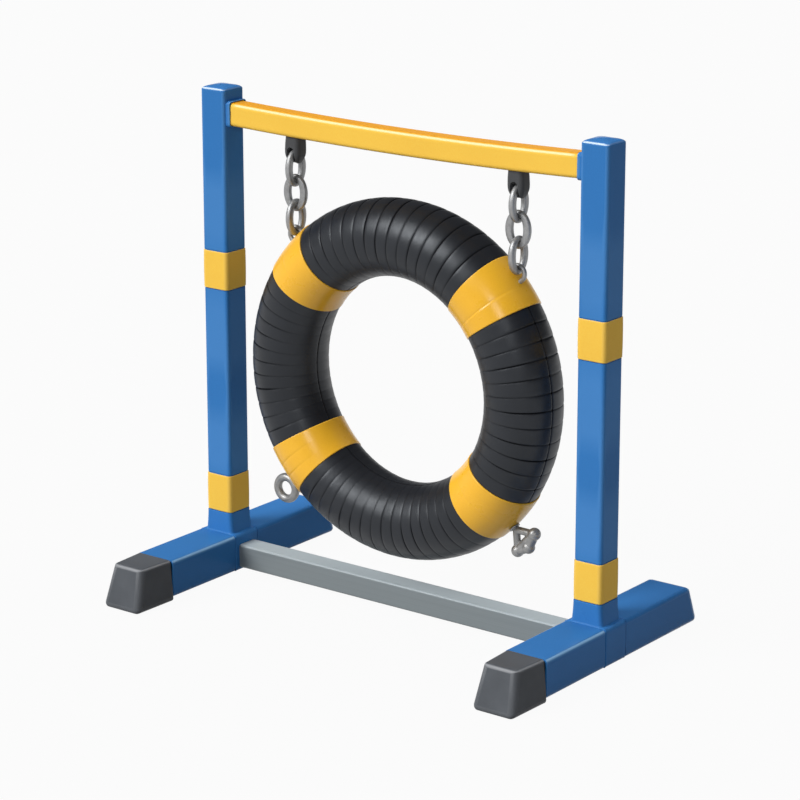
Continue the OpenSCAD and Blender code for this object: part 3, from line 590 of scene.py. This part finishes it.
def buildBar():
    low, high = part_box("crossbar")
    width, bow, steps = high.y - low.y, barShape["bow"], barShape["steps"]
    reach, centreZ = math.asin(high.x / bow), low.z + width / 2 + bow

    def barRing(turn, inset):
        upright = Vector((-math.sin(turn), 0, math.cos(turn)))
        foot = Vector((bow * math.sin(turn), lineY, centreZ - bow * math.cos(turn)))
        size = width - 2 * inset
        return [foot + Vector((0, y, 0)) + upright * z
                for y, z in roundSquare(size, size, barShape["corner"] - inset)]

    turns = [reach * (2 * i / steps - 1) for i in range(steps + 1)]
    rings = [barRing(turn, 0.0) for turn in turns]
    rings += [barRing(turn, barShape["wall"]) for turn in reversed(turns)]
    bar = skinPiece("crossbarTube", rings, closed=True)
    dress(bar, "frame", "bar_yellow", barYellow, "crossbar")


def buildCup(side):
    node = side + "_bar_cup"
    low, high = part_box(node)
    centre, width = middle(node), high.y - low.y - 2 * cupShape["trim"]
    seat, mouth = (high.x, low.x) if side == "right" else (low.x, high.x)
    inward = math.copysign(1.0, mouth - seat)
    barLow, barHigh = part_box("crossbar")
    room = barHigh.y - barLow.y + 2 * cupShape["gap"]
    edge, corner, barCorner = cupShape["round"], cupShape["corner"], barShape["corner"]
    places = [(seat, width, corner)]
    for i in range(cupShape["steps"] + 1):
        turn = math.pi / 2 * i / cupShape["steps"]
        inset = edge * (1 - math.cos(turn))
        places.append((mouth - inward * edge * (1 - math.sin(turn)), width - 2 * inset,
                       corner - cupShape["cornerShare"] * inset))
    places.append((mouth, room + cupShape["mouthFlare"], barCorner))
    places.append((mouth - inward * cupShape["mouthDeep"], room, barCorner))
    places.append((seat + inward * cupShape["floor"], room, barCorner))
    rings = [squareRing("x", centre, x, size, size, radius) for x, size, radius in places]
    cup = skinPiece(side + "BarCup", rings)
    dress(cup, "frame", "foot_blue", footBlue, node)


def buildStretcher():
    low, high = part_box("stretcher")
    centre, width, wall = middle("stretcher"), high.y - low.y, railShape["wall"]
    places = [(low.x, wall), *[(x, 0.0) for x in stations(low.x, high.x)], (high.x, wall)]
    rings = [squareRing("x", centre, x, width - 2 * inset, width - 2 * inset, railShape["corner"] - inset)
             for x, inset in places]
    rail = skinPiece("stretcherTube", rings, closed=True)
    dress(rail, "frame", "rail_silver", railSilver, "stretcher")


buildBar()
buildStretcher()
for side in sides:
    buildCup(side)
print("bars dressed")


# feet: front tube, rear tube with a sloped tail, rubber toe, hub with a flared collar
legShape = {"corner": 7.0 * mm, "wall": 3.0 * mm, "plump": 0.5 * mm, "drop": 2.5 * mm, "seam": 0.3 * mm,
            "seamShare": 0.3, "seamGap": 0.9 * mm, "tailLean": 26 * mm, "tailRound": 13 * mm, "tailSteps": 7}
toeShape = {"base": 85.6 * mm, "nose": 82.5 * mm, "top": 74 * mm, "topFront": 65 * mm, "lean": 22 * mm,
            "round": 11 * mm, "topRound": 5.5 * mm, "backRound": 3.5 * mm, "steps": 8}
hubShape = {"voxel": 1.0 * mm, "rounds": 3, "proud": 0.5 * mm, "steps": 6, "slip": 0.3 * mm,
            "collarWall": 1.45 * mm, "collarCorner": 7.4 * mm, "collarSink": 12 * mm, "collarSteps": 14,
            "flare": 5 * mm, "flarePower": 1.7, "flareShare": 0.15, "spigot": 12 * mm,
            "spigotInset": 3.2 * mm, "railCorner": 4.5 * mm, "railDeep": 40 * mm, "overrun": 5 * mm}


def hexPiece(name, corners):  # eight corners: bottom four, then top four, each anticlockwise
    faces = [(3, 2, 1, 0), (4, 5, 6, 7), (0, 1, 5, 4), (1, 2, 6, 5), (2, 3, 7, 6), (3, 0, 4, 7)]
    return meshPiece(name, [Vector(c) for c in corners], faces)


def blockCorners(low, high):
    plan = [(low.x, low.y), (high.x, low.y), (high.x, high.y), (low.x, high.y)]
    return [(x, y, z) for z in (low.z, high.z) for x, y in plan]


def legBox(node):  # a little fuller and lower than its solid
    low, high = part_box(node)
    plump = legShape["plump"]
    return low - Vector((plump, 0, legShape["drop"])), high + Vector((plump, 0, 0))


def buildFrontLeg(side):
    node = side + "_front_leg"
    low, high = legBox(node)
    wall, seam, end = legShape["wall"], legShape["seam"], high.y - legShape["seamGap"]
    part = legShape["seamShare"] * seam
    places = [(low.y, wall), *[(y, 0.0) for y in stations(low.y, end - seam)],
              (end - part, part), (end, seam), (end, wall)]
    rings = [squareRing("y", (low + high) / 2, y, high.x - low.x - 2 * inset, high.z - low.z - 2 * inset,
                        legShape["corner"] - inset) for y, inset in places]
    leg = skinPiece(side + "FrontTube", rings, closed=True)
    dress(leg, "frame", "foot_blue", footBlue, node)


def buildRearLeg(side):
    node = side + "_rear_leg"
    low, high = legBox(node)
    corners = blockCorners(low + Vector((0, legShape["seamGap"], 0)), high)
    for i in (6, 7):  # the tail slopes in at the top
        x, y, z = corners[i]
        corners[i] = (x, y - legShape["tailLean"], z)
    leg = hexPiece(side + "RearTube", corners)

    def share(a, b):
        if max(a.y, b.y) < low.y + touch:
            return 0.0  # square where it meets the hub
        alongLeg = abs(a.y - b.y) > (high.y - low.y) / 2
        return legShape["corner"] / legShape["tailRound"] if alongLeg else 1.0

    roundEdges(leg, legShape["tailRound"], legShape["tailSteps"], share)
    dress(leg, "frame", "foot_blue", footBlue, node)


def buildToe(side):
    node = side + "_toe"
    low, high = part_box(node)
    x, back = middle(node).x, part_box(side + "_front_leg")[0].y - legShape["seamGap"]
    rows = [(toeShape["nose"], low.y, toeShape["base"], low.z),
            (toeShape["topFront"], low.y + toeShape["lean"], toeShape["top"], high.z)]
    corners = []
    for frontWide, front, backWide, z in rows:
        corners += [(x - frontWide / 2, front, z), (x + frontWide / 2, front, z),
                    (x + backWide / 2, back, z), (x - backWide / 2, back, z)]
    toe = hexPiece(side + "RubberToe", corners)

    def share(a, b):
        if min(a.y, b.y) > back - touch:
            return toeShape["backRound"] / toeShape["round"]
        return toeShape["topRound"] / toeShape["round"] if min(a.z, b.z) > high.z - touch else 1.0

    roundEdges(toe, toeShape["round"], toeShape["steps"], share)
    dress(toe, "frame", "toe_rubber", toeRubber, node)


def buildHub(side):
    node = side + "_hub"
    low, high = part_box(node)
    legLow, legHigh = legBox(side + "_front_leg")
    rearLow = legBox(side + "_rear_leg")[0]
    centre, width = middle(side + "_post"), postWidth(side)
    proud, gap, corner = hubShape["proud"], legShape["seamGap"], legShape["corner"]
    block = hexPiece(side + "HubBody",
                     blockCorners(Vector((low.x, legHigh.y + gap, legLow.z - proud)),
                                  Vector((high.x, rearLow.y - gap, legHigh.z + proud))))
    roundEdges(block, corner, hubShape["steps"],
               lambda a, b: 1.0 if abs(a.y - b.y) > touch else legShape["seam"] / corner)
    inset, spigot = hubShape["spigotInset"], hubShape["spigot"]  # what goes into both legs
    core = blockCorners(Vector((legLow.x + inset, legHigh.y - spigot, legLow.z + inset)),
                        Vector((legHigh.x - inset, rearLow.y + spigot, legHigh.z - inset)))
    join(block, hexPiece("hubSpigots", core))
    collar, sink = width + 2 * hubShape["collarWall"], hubShape["collarSink"]
    rings = []
    for i in range(hubShape["collarSteps"] + 1):
        t = i / hubShape["collarSteps"]
        flare = hubShape["flare"] * (1 - t) ** hubShape["flarePower"]
        less = hubShape["flareShare"] * flare
        rings.append(squareRing("z", centre, legHigh.z - sink + (high.z - legHigh.z + sink) * t,
                                collar + 2 * flare, collar + less, hubShape["collarCorner"] + less))
    join(block, skinPiece(side + "HubCollar", rings))
    soften(block, hubShape["voxel"], hubShape["rounds"])
    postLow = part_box(side + "_post")[0]
    socket = [standingRing(centre, z, width + hubShape["slip"], postShape["corner"])
              for z in (postLow.z, high.z + hubShape["overrun"])]
    cut(block, skinPiece("postSocket", socket))
    railLow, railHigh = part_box("stretcher")
    inner = railHigh.x if side == "right" else railLow.x
    size = railHigh.y - railLow.y + 2 * hubShape["slip"]
    mouth = [squareRing("x", middle("stretcher"), x, size, size, hubShape["railCorner"])
             for x in (inner, inner - math.copysign(hubShape["railDeep"], inner))]
    cut(block, skinPiece("railSocket", mouth))
    dress(block, "frame", "foot_blue", hubBlue, node)


for side in sides:
    buildFrontLeg(side)
    buildRearLeg(side)
    buildToe(side)
    buildHub(side)
print("feet dressed")


# hangers under the bar and the chains
hangerShape = {"voxel": 0.7 * mm, "rounds": 4, "corner": 8.5 * mm, "plump": 2.4 * mm, "trim": 1.0 * mm,
               "headGap": 0.4 * mm, "slotWidth": 15 * mm, "slotRise": 22 * mm, "slotDeep": 30 * mm,
               "slotSteps": 12, "overrun": 5 * mm, "pin": 12 * mm, "pinSlip": 0.15 * mm, "pinEnd": 2 * mm,
               "pinSides": 32,
               # from foot to head: place, share of the width, share of the depth
               "outlineShares": ((0.0, 0.5, 0.42), (0.03, 0.62, 0.53), (0.08, 0.72, 0.64),
                                 (0.16, 0.84, 0.77), (0.27, 0.95, 0.9), (0.36, 0.99, 0.97),
                                 (0.5, 1.0, 1.0), (0.75, 0.98, 0.98), (1.0, 0.92, 0.93))}
linkShape = {"wire": 11 * mm, "bend": 10.4 * mm, "flankWide": 13.4 * mm, "flankThick": 10.6 * mm,
             "steps": 72, "flankPower": 1.4, "flatten": 0.3, "crease": 60}


def buildHanger(side):
    node = side + "_hanger"
    low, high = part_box(node)
    pivot = pivots[side + "_link_1_swing"]
    barTilt = math.copysign(math.asin(abs(pivot.x) / barShape["bow"]), pivot.x)
    plump = 2 * hangerShape["plump"]
    wide, deep = high.x - low.x - hangerShape["trim"] + plump, high.y - low.y + plump
    foot, head = -hangerShape["pin"] / 2, high.z - pivot.z - hangerShape["headGap"]
    rings = []
    for place, wideShare, deepShare in hangerShape["outlineShares"]:
        rings.append(squareRing("z", Vector(), foot + (head - foot) * place, wide * wideShare,
                                deep * deepShare, hangerShape["corner"] * deepShare))
    lug = skinPiece(side + "HangerLug", rings)
    half, bottom = hangerShape["slotWidth"] / 2, foot - hangerShape["overrun"]
    outline = [(-half, bottom), (half, bottom)]
    for i in range(hangerShape["slotSteps"] + 1):
        turn = math.pi * i / hangerShape["slotSteps"]
        outline.append((half * math.cos(turn), hangerShape["slotRise"] - half + half * math.sin(turn)))
    slot = [[Vector((x, y, z)) for x, z in outline]
            for y in (-hangerShape["slotDeep"], hangerShape["slotDeep"])]
    cut(lug, skinPiece("linkSlot", slot))
    radius, reach = hangerShape["pin"] / 2 - hangerShape["pinSlip"], half + hangerShape["pinEnd"]
    pin = [[Vector((x, radius * u, radius * v)) for u, v in circle(hangerShape["pinSides"])]
           for x in (-reach, reach)]
    join(lug, skinPiece("crossPin", pin))
    soften(lug, hangerShape["voxel"], hangerShape["rounds"])
    lug.data.transform(Matrix.Translation(pivot) @ Matrix.Rotation(-barTilt, 4, "Y"))
    dress(lug, "frame", "hanger_grey", hangerGrey, node)


def buildLink(side, number):
    node = f"{side}_link_{number}"
    low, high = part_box(node)
    size, centre, bend = high - low, middle(node), linkShape["bend"]
    wideWay, across = Vector((1, 0, 0)), Vector((0, 1, 0))
    if size.y > size.x:  # every other link is turned
        wideWay, across = across, wideWay
    halfTall, halfWide = ((reach - linkShape["wire"]) / 2 for reach in (size.z, max(size.x, size.y)))
    path, sections = [], []
    for u, v in circle(linkShape["steps"]):
        path.append(centre + wideWay * halfWide * u + Vector((0, 0, halfTall * v)))
        flank = abs(u) ** linkShape["flankPower"]  # 1 on the flanks, 0 at the bends
        sections.append(oval(bend + (linkShape["flankWide"] - bend) * flank,
                             bend + (linkShape["flankThick"] - bend) * flank,
                             1 - linkShape["flatten"] * flank))
    link = sweep(f"{side}Link{number}", path, across, lambda i: sections[i], closed=True)
    dress(link, node, "chain_steel", chainSteel, node, crease=linkShape["crease"])


for side in sides:
    buildHanger(side)
    for number in (1, 2, 3):
        buildLink(side, number)
print("chains dressed")


# ring of ribbed hose and couplers; places round the ring, spans and seams are in degrees
topLow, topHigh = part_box("top_hose")
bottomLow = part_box("bottom_hose")[0]
ringCentre = Vector((0, lineY, (topHigh.z + bottomLow.z) / 2))
ringShape = {"tube": (topHigh.y - topLow.y) / 2, "upperAt": 42.0, "lowerAt": 40.5}
ringShape["radius"] = (topHigh.z - bottomLow.z) / 2 - ringShape["tube"]
hoseShape = {"wall": 4 * mm, "pitch": 5.2, "groove": 0.75 * mm, "grooveWide": 1.9 * mm, "pillow": 0.35 * mm,
             "pillowPower": 4, "lap": 0.25 * mm, "lapSpan": (0.5, 1.0), "liftSpan": (-0.15 * mm, 0.0),
             "deepSpan": (0.7, 1.0), "endDeep": 0.4, "innerFade": 0.15, "fadeReach": 1.9, "wobble": 0.2,
             "wobbles": 3, "sides": 84, "boreSteps": 16, "crease": 50,
             "ribShares": (0.0, 0.018, 0.04, 0.07, 0.11, 0.17, 0.28, 0.5, 0.72, 0.83, 0.89, 0.93, 0.96,
                           0.982),
             "innerSeam": -172, "outerSeam": -10, "seamDeep": 0.8 * mm, "seamWide": 1.2 * mm,
             "seamShade": 0.7, "seamShares": (-2.2, -1.3, -0.8, -0.35, 0, 0.35, 0.8, 1.3, 2.2)}
couplerShape = {"span": 17.5, "spigotSpan": 6.0, "spigotSlip": 0.25 * mm, "round": 1.3 * mm,
                "proud": 1.5 * mm, "wall": 10 * mm, "sides": 96, "bodySteps": 64, "boreSteps": 16,
                "crease": 65, "rimShares": (0.0, 0.002, 0.005, 0.009, 0.014, 0.02, 0.03), "bodyShare": 0.045,
                "creaseDeep": 0.6 * mm, "creaseWide": 1.6 * mm, "creaseWander": 0.04, "creaseTurn": 6,
                "lip": 0.5 * mm, "lapShare": 0.8, "lapRun": 7 * mm}
rng = random.Random(11)


def onRing(turn, around, radius):  # turn goes round the ring, around from its outer crown to the back
    a = math.radians(turn)
    out = Vector((math.cos(a), 0, math.sin(a)))
    across = Vector((0, radius * math.sin(around), 0))
    return ringCentre + out * (ringShape["radius"] + radius * math.cos(around)) + across


def evenAngles(count):
    return [2 * math.pi * i / count for i in range(count)]


def hoseAngles(seams):  # closer together at a seam
    angles = set(evenAngles(hoseShape["sides"]))
    near = [hoseShape["seamWide"] / ringShape["tube"] * share for share in hoseShape["seamShares"]]
    for seam in seams:
        angles |= {(math.radians(seam) + off) % (2 * math.pi) for off in near}
    return sorted(angles)


def seamCut(around, seams):
    depth = 0.0
    for seam in seams:
        off = abs((around - math.radians(seam) + math.pi) % (2 * math.pi) - math.pi) * ringShape["tube"]
        depth += hoseShape["seamDeep"] * math.exp(-(off / hoseShape["seamWide"]) ** 2)
    return depth


def buildHose(name, start, span, seams):
    count = round(span / hoseShape["pitch"])
    step, tube, inner = span / count, ringShape["tube"], hoseShape["innerFade"]
    places = [(start + step * (rib + share), rib, share)
              for rib in range(count) for share in hoseShape["ribShares"]]
    places.append((start + span, count - 1, 1.0))
    angles = hoseAngles(seams)
    lift = [rng.uniform(*hoseShape["liftSpan"]) for _ in range(count)]
    lap = [rng.uniform(*hoseShape["lapSpan"]) * hoseShape["lap"] for _ in range(count)]
    deep = [rng.uniform(*hoseShape["deepSpan"]) for _ in range(count - 1)]
    deep = [hoseShape["endDeep"], *deep, hoseShape["endDeep"]]
    wander = [rng.uniform(0, 2 * math.pi) for _ in range(count + 1)]
    rings, grooveShade = [], []
    for turn, rib, share in places:
        ring = []
        edge = rib if share < 0.5 else rib + 1  # the nearer groove
        for around in angles:
            outward = 0.5 + 0.5 * math.cos(around)  # 1 on the outer crown, 0 on the inner one
            arc = math.radians(step) * (ringShape["radius"] + tube * math.cos(around))
            off = min(share, 1 - share) * arc
            wave = math.cos(hoseShape["wobbles"] * around + wander[edge])
            fade = min(1.0, outward * hoseShape["fadeReach"]) * (1 + hoseShape["wobble"] * (wave - 1))
            fade = inner + (1 - inner) * fade
            hollow = deep[edge] * fade * math.exp(-(off / hoseShape["grooveWide"]) ** 2)
            seam = seamCut(around, seams)
            radius = tube + lift[rib] - hoseShape["groove"] * hollow - seam
            radius -= hoseShape["pillow"] * fade * abs(2 * share - 1) ** hoseShape["pillowPower"]
            radius -= lap[rib] * fade * share
            # painted shade mask for grooves and seams, stored as the groove attribute
            grooveShade.append(min(1.0, hollow + hoseShape["seamShade"] * seam / hoseShape["seamDeep"]))
            ring.append(onRing(turn, around, radius))
        rings.append(ring)
    bore, steps = tube - hoseShape["wall"], hoseShape["boreSteps"]
    for i in range(steps + 1):
        rings.append([onRing(start + span - span * i / steps, around, bore) for around in angles])
    hose = skinPiece(name + "HoseRibs", rings, closed=True)
    grooveShade += [0.0] * (len(hose.data.vertices) - len(grooveShade))  # the bore has no grooves
    hose.data.attributes.new("groove", "FLOAT", "POINT").data.foreach_set("value", grooveShade)
    dress(hose, "tyre", "hose_black", hoseBlack, name + "_hose", crease=hoseShape["crease"])


def creaseDip(share, around, arc, crease):  # one lip of a crease stands over the other
    place, facing, reach, depthShare = crease
    wander = couplerShape["creaseWander"] * math.sin(around + couplerShape["creaseTurn"] * place)
    gap = (share - place - wander) * arc
    limit = math.cos(math.radians(reach))
    fade = max(0.0, (math.cos(around - math.radians(facing)) - limit) / (1 - limit))
    step = 1 / (1 + math.exp(-gap / couplerShape["lip"]))
    dip = math.exp(-(gap / couplerShape["creaseWide"]) ** 2)
    dip += couplerShape["lapShare"] * step * math.exp(-max(0.0, gap) / couplerShape["lapRun"])
    return couplerShape["creaseDeep"] * depthShare * fade * dip


def buildCoupler(level, side, at, creases):
    span, tube = couplerShape["span"], ringShape["tube"] + couplerShape["proud"]
    spigot = ringShape["tube"] - hoseShape["wall"] - couplerShape["spigotSlip"]
    bore, start, end = tube - couplerShape["wall"], at - span / 2, at - span / 2 + span
    angles, rim = evenAngles(couplerShape["sides"]), couplerShape["rimShares"]
    body, steps = couplerShape["bodyShare"], couplerShape["bodySteps"]
    shares = [*rim, *[body + (1 - 2 * body) * i / steps for i in range(steps + 1)]]
    shares += [1 - share for share in reversed(rim)]
    rings = []
    for share in shares:
        ring = []
        for around in angles:
            arc = math.radians(span) * (ringShape["radius"] + tube * math.cos(around))
            radius = tube - rolled(min(share, 1 - share) * arc, couplerShape["round"])
            radius -= sum(creaseDip(share, around, arc, crease) for crease in creases)
            ring.append(onRing(start + span * share, around, radius))
        rings.append(ring)
    far, near = end + couplerShape["spigotSpan"], start - couplerShape["spigotSpan"]
    steps = couplerShape["boreSteps"]
    inside = [(end, spigot), (far, spigot)]
    inside += [(far + (near - far) * i / steps, bore) for i in range(steps + 1)]
    inside += [(near, spigot), (start, spigot)]
    rings += [[onRing(turn, around, radius) for around in angles] for turn, radius in inside]
    coupler = skinPiece(f"{level}{side.title()}Coupler", rings, closed=True)
    node = f"{level}_{side}_coupler"
    dress(coupler, "tyre", "coupler_yellow", couplerYellow, node, crease=couplerShape["crease"])


upperAt, lowerAt, couplerHalf = ringShape["upperAt"], ringShape["lowerAt"], couplerShape["span"] / 2
sideSpan = upperAt + lowerAt - 2 * couplerHalf
innerSeam, outerSeam = hoseShape["innerSeam"], hoseShape["outerSeam"]
buildHose("top", upperAt + couplerHalf, 180 - 2 * (upperAt + couplerHalf), [innerSeam])
buildHose("right", couplerHalf - lowerAt, sideSpan, [innerSeam, outerSeam])
buildHose("bottom", 180 + lowerAt + couplerHalf, 180 - 2 * (lowerAt + couplerHalf), [innerSeam])
buildHose("left", 180 - upperAt + couplerHalf, sideSpan, [innerSeam])
# each crease: place along the coupler, where round the tube it is deepest, how far it runs, depth share
buildCoupler("upper", "right", upperAt, [(0.34, -80, 75, 1.0)])
buildCoupler("upper", "left", 180 - upperAt, [(0.55, -60, 60, 0.35)])
buildCoupler("lower", "left", 180 + lowerAt, [(0.36, -70, 70, 0.6), (0.66, -65, 65, 0.7)])
buildCoupler("lower", "right", -lowerAt, [(0.4, -75, 70, 0.5), (0.7, -60, 60, 0.4)])
print("ring dressed")


# staples on the upper couplers, tie eyes on the lower ones; a turn is in degrees past the coupler
stapleShape = {"wire": 8 * mm, "half": 13 * mm, "turn": 1.5, "depth": 22 * mm, "legSteps": 6,
               "bendSteps": 24}
eyeShape = {"turn": 2.5, "stud": 8 * mm, "studDepth": 22 * mm, "shoulder": 20 * mm, "shoulderTall": 3 * mm,
            "shoulderGap": 0.3 * mm, "neck": 12.5 * mm, "neckStart": 1.0 * mm, "voxel": 0.8 * mm,
            "rounds": 4, "crease": 60}
tieRingShape = {"radius": 19.5 * mm, "reach": 39.5 * mm, "wire": 14.5 * mm, "steps": 64}
triangleShape = {"reach": 33 * mm, "half": 24 * mm, "bar": 17 * mm, "lobe": 22 * mm, "lobeSteps": 12,
                 "bulge": 9 * mm, "bulgeAside": 2 * mm, "apexGap": 0.2 * mm}
crown = ringShape["radius"] + ringShape["tube"] + couplerShape["proud"]


def ringFrame(turn):  # radial out, across, round the ring
    a = math.radians(turn)
    return Vector((math.cos(a), 0, math.sin(a))), Vector((0, 1, 0)), Vector((-math.sin(a), 0, math.cos(a)))


def buildStaple(side, turn):
    out, across, along = ringFrame(turn)
    bendOut = abs(pivots["tyre_swing"].x) / abs(out.x)
    half, depth, steps = stapleShape["half"], stapleShape["depth"], stapleShape["legSteps"]
    inner, bend = ringCentre + out * (crown - depth), ringCentre + out * bendOut
    leg = out * (bendOut - crown + depth)
    path = [inner - along * half + leg * i / steps for i in range(steps)]
    for i in range(stapleShape["bendSteps"] + 1):
        angle = math.pi * i / stapleShape["bendSteps"]
        path.append(bend + (-along * math.cos(angle) + out * math.sin(angle)) * half)
    path += [inner + along * half + leg * i / steps for i in reversed(range(steps))]
    wire = oval(stapleShape["wire"], stapleShape["wire"])
    staple = sweep(side + "StapleRod", path, across, lambda i: wire)
    dress(staple, "tyre", "chain_steel", chainSteel, side + "_staple", crease=eyeShape["crease"])


def rod(start, end, width):
    along = (end - start).normalized()
    side = along.orthogonal().normalized()
    up = along.cross(side)
    return skin([[p + (side * u + up * v) * width / 2 for u, v in circle(meshShape["wireSides"])]
                 for p in (start, end)])


def ball(centre, width):
    rings, steps = [], triangleShape["lobeSteps"]
    for i in range(1, steps):
        tilt = math.pi * i / steps
        rings.append([centre + Vector((math.sin(tilt) * u, math.sin(tilt) * v, math.cos(tilt))) * width / 2
                      for u, v in circle(meshShape["wireSides"])])
    return skin(rings)


def studParts(base, out, top):  # the stud through the coupler's wall, and its shoulder outside
    return [rod(base - out * eyeShape["studDepth"], top, eyeShape["stud"]),
            rod(base + out * eyeShape["shoulderGap"], base + out * eyeShape["shoulderTall"],
                eyeShape["shoulder"])]


def finishEye(eye, parts, node):  # runs the eye and its parts together
    join(eye, *[meshPiece("tiePart", *part) for part in parts])
    soften(eye, eyeShape["voxel"], eyeShape["rounds"])
    dress(eye, "tyre", "chain_steel", eyeSteel, node, crease=eyeShape["crease"])


def buildTieRing(turn):
    out, across, along = ringFrame(turn)
    base = ringCentre + out * crown
    centre = base + out * tieRingShape["reach"]
    radius = tieRingShape["radius"]
    path = [centre + (out * u + along * v) * radius for u, v in circle(tieRingShape["steps"])]
    wire = oval(tieRingShape["wire"], tieRingShape["wire"])
    loop = sweep("tieRingEye", path, across, lambda i: wire, closed=True)
    foot = base + out * eyeShape["neckStart"]
    neck = rod(foot, base + out * (tieRingShape["reach"] - radius), eyeShape["neck"])
    finishEye(loop, [*studParts(base, out, foot), neck], "tie_ring")


def buildTieTriangle(turn):
    out, _, along = ringFrame(turn)
    base, wire, bar = ringCentre + out * crown, eyeShape["neck"], triangleShape["bar"]
    apex = base + out * (wire / 2 + triangleShape["apexGap"])
    ends = [base + out * triangleShape["reach"] + along * e * triangleShape["half"] for e in (-1, 1)]
    bulge = base + out * (triangleShape["reach"] + triangleShape["bulge"])
    bulge -= along * triangleShape["bulgeAside"]
    flanks = [rod(apex, end, wire) for end in ends]
    parts = [flanks[1], rod(*ends, bar), *[rod(bulge, end, bar) for end in ends]]
    parts += [ball(lobe, triangleShape["lobe"]) for lobe in (*ends, bulge)]
    parts += [ball(apex, wire), *studParts(base, out, apex)]
    finishEye(meshPiece("tieTriangleEye", *flanks[0]), parts, "tie_triangle")


buildStaple("right", upperAt + stapleShape["turn"])
buildStaple("left", 180 - upperAt - stapleShape["turn"])
buildTieRing(180 + lowerAt + eyeShape["turn"])
buildTieTriangle(-lowerAt - eyeShape["turn"])
print("eyes dressed")


# small hardware and pads keep their solids
zincNodes = ("cup_screws", "hanger_screws", "hanger_inserts", "base_screws", "post_screws", "stud_washers",
             "stud_nuts")
for name, finish in {"rear_pads": toeRubber, **{name: hardwareZinc for name in zincNodes}}.items():
    node = frame["nodes"][name]
    node.data.materials.clear()
    node.data.materials.append(finish)
print("hardware finished")


# floor, light and camera
stageShape = {"floorHalf": 14.0, "floorColour": (0.3, 0.3, 0.3), "floorRough": 0.9, "white": (1.0, 1.0, 1.0),
              "paleShare": 0.95, "backdropTop": (0.03, 0.16), "sky": (0.095, 0.098, 0.103)}
lamps = {"keyLamp": {"strength": 2.87, "angle": 34, "from": (-0.4, -0.7, 0.6), "glossy": True},
         "topLamp": {"strength": 1.35, "angle": 80, "from": (-0.2, 0.5, 0.85), "glossy": False},
         "fillLamp": {"strength": 0.46, "angle": 13, "from": (0.4, -0.8, 0.4), "glossy": True}}
cameraShape = {"turn": 37.1, "rise": 15.65, "away": 5.0368, "lookZ": 0.430, "sensor": 36, "lens": 135.6,
               "shift": (-0.0052, -0.0372)}


def seenShare(tree, mirrored=1.0):  # how white the background is to the eye and in reflections
    path = addNode(tree, "ShaderNodeLightPath")
    shiny = combine(tree, "MAXIMUM", path.outputs["Is Glossy Ray"], path.outputs["Is Transmission Ray"])
    seen = combine(tree, "MAXIMUM", path.outputs["Is Camera Ray"], product(tree, shiny, mirrored))
    return product(tree, seen, stageShape["paleShare"])


def showBackground(tree, output, share, lit, white):
    mix = addNode(tree, "ShaderNodeMixShader", {0: share, 1: lit.outputs[0], 2: white.outputs[0]})
    tree.links.new(mix.outputs[0], tree.nodes[output].inputs["Surface"])


def buildFloor():
    half = stageShape["floorHalf"]
    corners = [(-half, -half, 0), (half, -half, 0), (half, half, 0), (-half, half, 0)]
    floor = meshPiece("studioFloor", corners, [(0, 1, 2, 3)])
    finish, tree, shader = newFinish("paleFloor")
    shader.inputs["Base Color"].default_value = rgba(stageShape["floorColour"])
    shader.inputs["Roughness"].default_value = stageShape["floorRough"]
    shader.inputs["Specular IOR Level"].default_value = 0.0
    glow = addNode(tree, "ShaderNodeEmission", {"Color": rgba(stageShape["white"]), "Strength": 1.0})
    showBackground(tree, "Material Output", seenShare(tree), shader, glow)
    floor.data.materials.append(finish)


def buildWorld():
    world = bpy.data.worlds.new("softStudio")
    world.use_nodes = True
    tree = world.node_tree
    dim = tree.nodes["Background"]
    dim.inputs["Color"].default_value = rgba(stageShape["sky"])
    pale = addNode(tree, "ShaderNodeBackground", {"Color": rgba(stageShape["white"]), "Strength": 1.0})
    direction = addNode(tree, "ShaderNodeTexCoord").outputs["Generated"]
    height = addNode(tree, "ShaderNodeSeparateXYZ", {0: direction}).outputs["Z"]
    backdrop = remap(tree, height, stageShape["backdropTop"], (1.0, 0.0))  # white low down in reflections
    showBackground(tree, "World Output", seenShare(tree, backdrop), dim, pale)
    bpy.context.scene.world = world


def addHolder(name, data, facing):  # a lamp or camera that looks away from the given direction
    holder = bpy.data.objects.new(name, data)
    holder.rotation_mode = "QUATERNION"
    holder.rotation_quaternion = facing.to_track_quat("Z", "Y")
    bpy.context.scene.collection.objects.link(holder)
    return holder


def addSun(name, spec):
    lamp = bpy.data.lights.new(name, "SUN")
    lamp.energy = spec["strength"]
    lamp.angle = math.radians(spec["angle"])
    addHolder(name, lamp, Vector(spec["from"])).visible_glossy = spec["glossy"]


def buildCamera():
    turn, rise = math.radians(cameraShape["turn"]), math.radians(cameraShape["rise"])
    back = Vector((math.sin(turn) * math.cos(rise), -math.cos(turn) * math.cos(rise), math.sin(rise)))
    lens = bpy.data.cameras.new("photoCamera")
    lens.sensor_width = cameraShape["sensor"]
    lens.lens = cameraShape["lens"]
    lens.shift_x, lens.shift_y = cameraShape["shift"]
    holder = addHolder("photoCamera", lens, back)
    holder.location = Vector((0, lineY, cameraShape["lookZ"])) + back * cameraShape["away"]
    bpy.context.scene.camera = holder


buildFloor()
buildWorld()
for name, spec in lamps.items():
    addSun(name, spec)
buildCamera()
bpy.context.scene.view_settings.view_transform = "Standard"
print("stage set")
